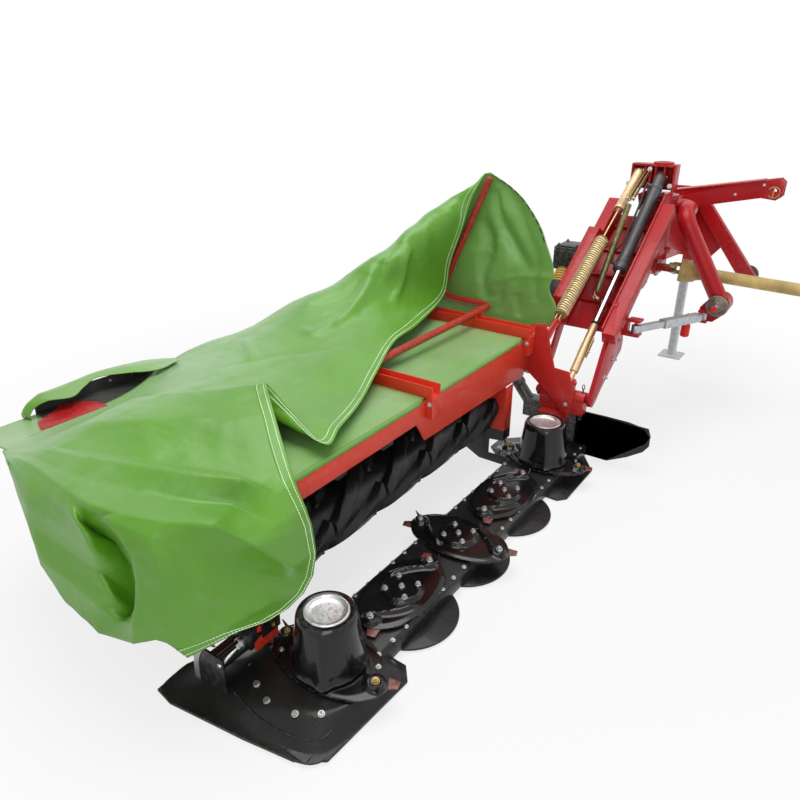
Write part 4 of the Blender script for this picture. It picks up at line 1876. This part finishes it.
def buildDriveShaft():
    s = shaftSizes
    start, end = s["coneStart"], s["coneEnd"]
    guard = turned("guard", [
        (0.030, start + 0.004), (0.058, start), (0.0645, start + 0.003), (s["cone"], start + 0.008),
        (0.0655, start + 0.036), (0.0625, start + 0.040), (0.0615, start + 0.062), (0.055, start + 0.086),
        (0.044, end - 0.022), (0.0392, end), (0.0392, end + 0.03), (s["tube"], end + 0.034),
        (s["tube"], s["tubeEnd"]), (0.0405, s["tubeEnd"] + 0.002), (0.052, s["tubeEnd"] + 0.02),
        (0.056, s["tubeEnd"] + 0.04),
        (0.0565, 0.915), (0.0545, 0.92), (0.030, 0.916), (0.0, 0.916),
    ], "shaft", guardKhaki, 56)
    inside = turned("inside", [(0.0, 0.075), (0.030, 0.074), (0.030, start + 0.004)], "shaft", hoodRubber,
                    40)
    parts = [guard, inside]
    way = axisEnds("shaft")[2]
    side = way.orthogonal().normalized()
    up = way.cross(side)
    near, far = s["crosses"]
    for k, (at, sign, a, b) in enumerate(((near, 1, side, up), (near, -1, up, side), (far, -1, side, up),
                                          (far, 1, up, side))):
        # each yoke is a hub and two ears that hold the cross
        base = onAxis("shaft", at)
        reach = s["hubReach"] * sign
        parts.append(lathe(f"hub{k}", [(0, reach), (0.021, reach), (0.023, reach * 1.25),
                                       (0.021, reach * 1.75), (0, reach * 1.75)],
                           base, way, yokeOlive, 28))
        for j, away in enumerate((-1, 1)):
            ear = [(-0.013, -0.012), (0.013, -0.012), (0.017, 0.012), (0.014, 0.034), (-0.014, 0.034),
                   (-0.017, 0.012)]
            origin = base + a * (s["earOut"] * away - s["earThickness"] / 2)
            parts.append(plate(f"ear{k}{j}", [(y, x) for x, y in ear], way * sign, b, origin,
                               s["earThickness"],
                               yokeOlive, 0.002))
            parts.append(lathe(f"cap{k}{j}", [(0, 0.017), (0.0105, 0.017), (0.0105, 0.031), (0.009, 0.0325),
                                              (0, 0.0325)],
                               base, a * away, zincBright, 20))
    settle(joinAll("driveShaft", parts), "pto", "pto_shaft")


buildDriveShaft()
print("drives made")


def splined(name, centre, way, radius, length, teeth, material):
    verts = []
    ahead = Vector(way).normalized()
    side = ahead.orthogonal().normalized()
    up = ahead.cross(side)
    count = teeth * 4
    for h in (0, length):
        for k in range(count):
            r = radius if k % 4 in (0, 1) else radius * 0.82
            a = 2 * math.pi * k / count
            verts.append(Vector(centre) + ahead * h + (side * math.cos(a) + up * math.sin(a)) * r)
    faces = ringFaces(2, count) + endFaces(2, count)
    return tidyNormals(newMesh(name, verts, faces, material, False), 0.000001)


headstockSizes = {
    "boss": (2.150, -0.050, 0.790), "boltRing": 0.043, "pinY": -0.45, "pinZ": 0.65, "outerCapX": 2.004,
    "innerCapIn": 0.085, "lynch": (2.400, -0.555, 1.225), "lynchRadius": 0.030,
}


def buildHeadstockDetails():
    s = headstockSizes
    bossX, bossY, bossZ = s["boss"]
    bossCentre = Vector(s["boss"])
    parts = [
        lathe("flange", [(0.0, 0.0), (0.053, 0.0), (0.0555, 0.003), (0.0555, 0.010), (0.053, 0.013),
                         (0.030, 0.014), (0.028, 0.022), (0, 0.022)],
              bossCentre, (0, -1, 0), armRed, 44),
        splined("spline", bossCentre + Vector((0, -0.02, 0)), (0, -1, 0), 0.0155, 0.052, 6, darkSteel),
    ]
    # red pin ends with pressed ring caps at the foot of each leg
    low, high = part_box("hitch_pins")
    for k, (x, way) in enumerate(((s["outerCapX"], -1), (high[0] - s["innerCapIn"], 1))):
        parts.append(lathe(f"cap{k}", [
            (0.0145, 0.0), (0.060, 0.0), (0.060, 0.006), (0.052, 0.009), (0.050, 0.007),
            (0.044, 0.010), (0.042, 0.008),
            (0.036, 0.0115), (0.034, 0.0095), (0.026, 0.012), (0.022, 0.020), (0.0145, 0.021),
            (0.0145, 0.0)],
            (x, s["pinY"], s["pinZ"]), (way, 0, 0), capBrown, 48))
    settle(joinAll("headstockFittings", parts), "headstock")
    ends = [lathe(f"end{k}", [(0, 0.002), (0.0146, 0.002), (0.0149, -0.002), (0.0149, -0.022),
                              (0.0143, -0.024), (0.0, -0.024)],
                  (x, s["pinY"], s["pinZ"]), (way, 0, 0), knobRed, 28)
            for k, (x, way) in enumerate(((low[0], -1), (high[0], 1)))]
    settle(joinAll("hitchEnds", ends), "headstock")
    ring = s["boltRing"]
    places = [((bossX + ring * math.cos(a), bossY - 0.0135, bossZ + ring * math.sin(a)), (0, -1, 0))
              for a in (0.6, 2.2, 3.8, 5.4)]
    places += [((2.404, -0.500, 1.262), (-1, 0, 0)), ((2.404, -0.360, 1.200), (-1, 0, 0))]
    bolts("headstockBolts", places, zincBright, "headstock", 0.008)
    x, y, z = s["lynch"]
    lynch = [Vector((x, y + s["lynchRadius"] * math.cos(a), z + s["lynchRadius"] * math.sin(a)))
             for a in np.linspace(0.5, 5.6, 16)]
    clip = tube("lynchRing", lynch, 0.0026, zincGold, 8, 40)
    stem = tube("lynchStem", [(x - 0.004, y, z + 0.032), (x - 0.004, y + 0.003, z - 0.029)], 0.0045,
                zincGold, 10)
    settle(joinAll("lynchPin", [clip, stem]), "headstock")


buildHeadstockDetails()


def buildCastHead():
    # ring casting and bolt over the kingpin
    centre = Vector((2.095, -0.02, 1.372))
    ring = lathe("ring", [(0.030, -0.001), (0.052, -0.001), (0.055, 0.002), (0.055, 0.007), (0.052, 0.0095),
                          (0.034, 0.0095), (0.030, 0.007), (0.030, -0.001)],
                 centre, (0, 0, 1), armRed, 44)
    settle(joinAll("castRing", [ring]), "arm")
    bolts("castBolts", [((2.095, -0.02, 1.3725), (0, 0, 1))], darkSteel, "arm", 0.0095, 1.3, 0.0)
    places = [((2.032, y, z), (-1, 0, 0.2)) for y, z in ((-0.085, 1.262), (0.145, 1.262), (0.035, 1.345))]
    bolts("castSideBolts", places, zincBright, "arm", 0.009)


buildCastHead()


def buildKnob():
    low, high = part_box("link_knob")
    centre = Vector(((low[0] + high[0]) / 2, (low[1] + high[1]) / 2, low[2]))
    tall = high[2] - low[2]
    knob = lathe("knob", [(0, 0.004), (0.017, 0.004), (0.0195, 0.0), (0.0235, 0.004), (0.024, 0.012),
                          (0.024, tall - 0.014), (0.0222, tall - 0.006),
                          (0.018, tall), (0, tall)], centre, (0, 0, 1), knobRed, 40)
    foot = lathe("foot", [(0.0, 0.0015), (0.016, 0.001), (0.0165, 0.004), (0.0, 0.005)], centre, (0, 0, 1),
                 darkSteel, 24)
    settle(joinAll("linkKnob", [knob, foot]), "link_tube", "link_knob")
    bolts("knobBolt", [(tuple(centre + Vector((0, 0, 0.0015))), (0, 0, -1))], zincBright, "link_tube",
          0.0075, 1.3, 0.0)
    clipSide = Vector((low[0] - 0.012, high[1] + 0.004, high[2] + 0.026))
    bends = ((-0.085, 0.030, -0.004), (-0.05, 0.014, 0.0), (0, 0, 0.004), (0.04, -0.012, 0.008),
             (0.075, -0.022, 0.02))
    keeper = tube("keeper", [clipSide + Vector(bend) for bend in bends], 0.0036, zincGold, 8, 30)
    settle(joinAll("knobKeeper", [keeper]), "link_tube")
    bolts("linkBolts", [((1.742, -0.3005, 0.602), (0, 1, 0)), ((1.980, -0.372, 0.592), (0, -1, 0))],
          zincGold, "link_tube", 0.0075)


buildKnob()
print("hitch details made")


frameBoltSizes = {"channelIn": 0.030, "channelOut": 0.0305, "channelUp": 0.014, "channelZ": 0.625}


def buildFrameBolts():
    # bolts of the cover frame, the side plates and the yoke
    s = frameBoltSizes
    low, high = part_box("cover_channels")
    places = [
        ((x + way * s["channelOut"], low[1] + s["channelUp"], s["channelZ"]), (way, 0, 0))
        for x in (low[0] + s["channelIn"], high[0] - s["channelIn"]) for way in (-1, 1)
    ]
    bolts("channelBolts", places, zincBright, "cutter_unit", 0.009)
    spots = ((0.33, 0.235), (0.33, 0.365), (0.51, 0.405), (0.51, 0.535), (0.21, 0.10))
    side = [((x, y, z), (way, 0, 0)) for x, way in ((-0.8285, -1), (0.7535, 1)) for y, z in spots]
    bolts("sideBolts", side, zincBright, "cutter_unit", 0.009)
    yoke = [((0.9575, y, z), (-1, 0, 0)) for y, z in ((0.17, 0.66), (-0.03, 0.33))]
    bolts("yokeBolts", yoke, zincBright, "cutter_unit", 0.0085)


buildFrameBolts()

# the arm's side cheek, drawn along and across the arm from its foot pivot
cheekSizes = {
    "pivot": (1.050, 0, 0.340), "slope": 35.5, "cheekY": -0.1275, "cheekThickness": 0.008, "lugY": -0.150,
    "lugThickness": 0.012, "lugBoltY": -0.162,
    "cheek": [(-0.034, 0), (-0.02, -0.03), (0.02, -0.038), (0.11, -0.034), (0.276, -0.050), (0.38, -0.066),
              (0.42, -0.03), (0.44, 0.10), (0.40, 0.155), (0.30, 0.157), (0.20, 0.13), (0.0, 0.036),
              (-0.03, 0.02)],
    "lug": [(0.64, 0.160), (0.82, 0.160), (0.80, 0.105), (0.765, 0.09), (0.70, 0.09), (0.66, 0.105)],
    "strapBolts": ((0.276, -0.012), (0.150, 0.0)), "armBolts": ((0.385, 0.12), (0.385, 0.01)),
    "lugBolts": ((0.70, 0.118), (0.77, 0.118)),
}


def buildArmCheek():
    s = cheekSizes
    slope, pivot = math.radians(s["slope"]), Vector(s["pivot"])
    ahead = Vector((math.cos(slope), 0, math.sin(slope)))
    across = Vector((-ahead.z, 0, ahead.x))
    cheek = plate("armCheek", s["cheek"], ahead, across, pivot + sideways * s["cheekY"],
                  s["cheekThickness"],
                  armRed, 0.002)
    lug = plate("armLug", s["lug"], ahead, across, pivot + sideways * s["lugY"], s["lugThickness"], armRed,
                0.002)
    settle(joinAll("armCheek", [cheek, lug]), "arm")

    def onArm(spots, y):
        return [(tuple(pivot + ahead * a + across * b + sideways * y), (0, -1, 0)) for a, b in spots]

    face = s["cheekY"] - s["cheekThickness"]
    bolts("strapBolts", onArm(s["strapBolts"], face), zincBright, "arm", 0.011, 1.4, 1.6)
    bolts("armBolts", onArm(s["armBolts"], face) + onArm(s["lugBolts"], s["lugBoltY"]), zincBright, "arm",
          0.008)


buildArmCheek()

dividerOutline = [
    (-0.050, 0.2615), (-0.20, 0.2645), (-0.315, 0.264), (-0.395, 0.252), (-0.428, 0.215), (-0.429, 0.165),
    (-0.405, 0.128), (-0.33, 0.075), (-0.235, 0.0245), (-0.10, 0.0245), (-0.05, 0.05),
]
chainSizes = {"x": 1.045, "y": -0.082, "top": 0.405, "pitch": 0.021, "links": 9, "half": 0.006,
              "tall": 0.0135,
              "wire": 0.0022}


def buildInnerEnd():
    # divider fin, shoe bolts and the short safety chain at the inner end
    low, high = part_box("inner_divider")
    fin = plate("dividerFin", dividerOutline, (0, 1, 0), (0, 0, 1), (low[0], 0, 0), high[0] - low[0],
                barGloss, 0.0015)
    settle(joinAll("dividerFin", [fin]), "cutter_unit", "inner_divider")
    spots = ((0.70, 0.17), (0.86, 0.27), (0.98, 0.21), (1.09, 0.02), (1.05, -0.07))
    shoe = [((x, y, 0.0155), (0, 0, 1)) for x, y in spots]
    bolts("innerShoeBolts", shoe, zincBright, "cutter_unit", 0.009, 1.2, 0.2)
    s = chainSizes
    links = []
    for j in range(s["links"]):
        # every second link lies crosswise
        alongX, alongY = (s["half"], 0) if j % 2 else (0, s["half"])
        z = s["top"] - j * s["pitch"]
        ring = [Vector((s["x"] + alongX * math.cos(a), s["y"] + alongY * math.cos(a),
                        z + s["tall"] * math.sin(a)))
                for a in np.linspace(0, 2 * math.pi, 13)]
        links.append(tube(f"link{j}", ring, s["wire"], darkSteel, 6, 20))
    settle(joinAll("safetyChain0", links), "cutter_unit")


buildInnerEnd()
print("hardware made")


# floor, light and camera
studio = {"floor": (0.8, 0.8, 0.8, 1), "world": 0.4, "topPower": 270, "keyPower": 80, "fillPower": 25,
          "whiteFrom": 1.6, "whiteTo": 3.4, "whiteNear": 0.72, "centre": (0.9, 0.3, 0),
          "aim": (0.6, 0.2, 0.6),
          "floorHalf": 30, "floorDrop": 0.001}


def showWhiteTo(tree, shader, output, share=None):
    # the camera and mirror rays see plain white, the rest sees the shader
    path = tree.nodes.new("ShaderNodeLightPath")
    seen = mathNode(tree, "MAXIMUM", path.outputs["Is Camera Ray"], path.outputs["Is Glossy Ray"])
    seen = mathNode(tree, "MAXIMUM", seen, path.outputs["Is Transmission Ray"])
    if share is not None:
        seen = mathNode(tree, "MULTIPLY", seen, share)
    kind = "Background" if output.type == "OUTPUT_WORLD" else "Emission"
    white = tree.nodes.new("ShaderNode" + kind)
    setInputs(white, Strength=1.0, Color=(1, 1, 1, 1))
    mix = tree.nodes.new("ShaderNodeMixShader")
    tree.links.new(seen, mix.inputs[0])
    tree.links.new(shader, mix.inputs[1])
    tree.links.new(white.outputs[0], mix.inputs[2])
    tree.links.new(mix.outputs[0], output.inputs["Surface"])


def buildStudio():
    material, tree, shader = newMaterial("floorPaper")
    setInputs(shader, Base_Color=studio["floor"], Roughness=0.9, Specular_IOR_Level=0.0)
    paper = objectPlace(tree)
    reach = tree.nodes.new("ShaderNodeVectorMath")
    reach.operation = "DISTANCE"
    reach.inputs[1].default_value = studio["centre"]
    tree.links.new(paper, reach.inputs[0])
    fade = ramp(tree, reach.outputs["Value"], studio["whiteFrom"], studio["whiteTo"], studio["whiteNear"],
                1.0)
    showWhiteTo(tree, shader.outputs[0], tree.nodes["Material Output"], fade)
    half, level = studio["floorHalf"], -studio["floorDrop"]
    corners = [(-half, -half, level), (half, -half, level), (half, half, level), (-half, half, level)]
    newMesh("floor", corners, [(0, 1, 2, 3)], material, False)
    world = bpy.data.worlds.new("studio")
    bpy.context.scene.world = world
    world.use_nodes = True
    tree = world.node_tree
    back = setInputs(tree.nodes["Background"], Color=(1, 1, 1, 1), Strength=studio["world"])
    showWhiteTo(tree, back.outputs[0], tree.nodes["World Output"])
    for name, place, size, power in (
        ("top", (0.7, 0.6, 6.4), 4.5, studio["topPower"]),
        ("key", (-4.2, -3.0, 3.2), 2.5, studio["keyPower"]),
        ("fill", (4.5, -3.5, 3.0), 3.0, studio["fillPower"]),
    ):
        lamp = bpy.data.lights.new(name, "AREA")
        lamp.size, lamp.energy = size, power
        obj = bpy.data.objects.new(name, lamp)
        obj.location = place
        obj.rotation_euler = (Vector(studio["aim"]) - Vector(place)).to_track_quat("-Z", "Y").to_euler()
        bpy.context.collection.objects.link(obj)


cameraSetting = {"focal": 30.6, "sensor": 36.0, "place": (-2.0007, -1.1304, 1.7506), "tilt": 65.4,
                 "turn": -54.6}


def buildCamera():
    s = cameraSetting
    lens = bpy.data.cameras.new("camera")
    lens.lens, lens.sensor_width = s["focal"], s["sensor"]
    camera = bpy.data.objects.new("camera", lens)
    camera.location = s["place"]
    camera.rotation_euler = (math.radians(s["tilt"]), 0, math.radians(s["turn"]))
    bpy.context.collection.objects.link(camera)
    bpy.context.scene.camera = camera


buildStudio()
buildCamera()
bpy.context.scene.view_settings.view_transform = "Standard"
print("studio ready")
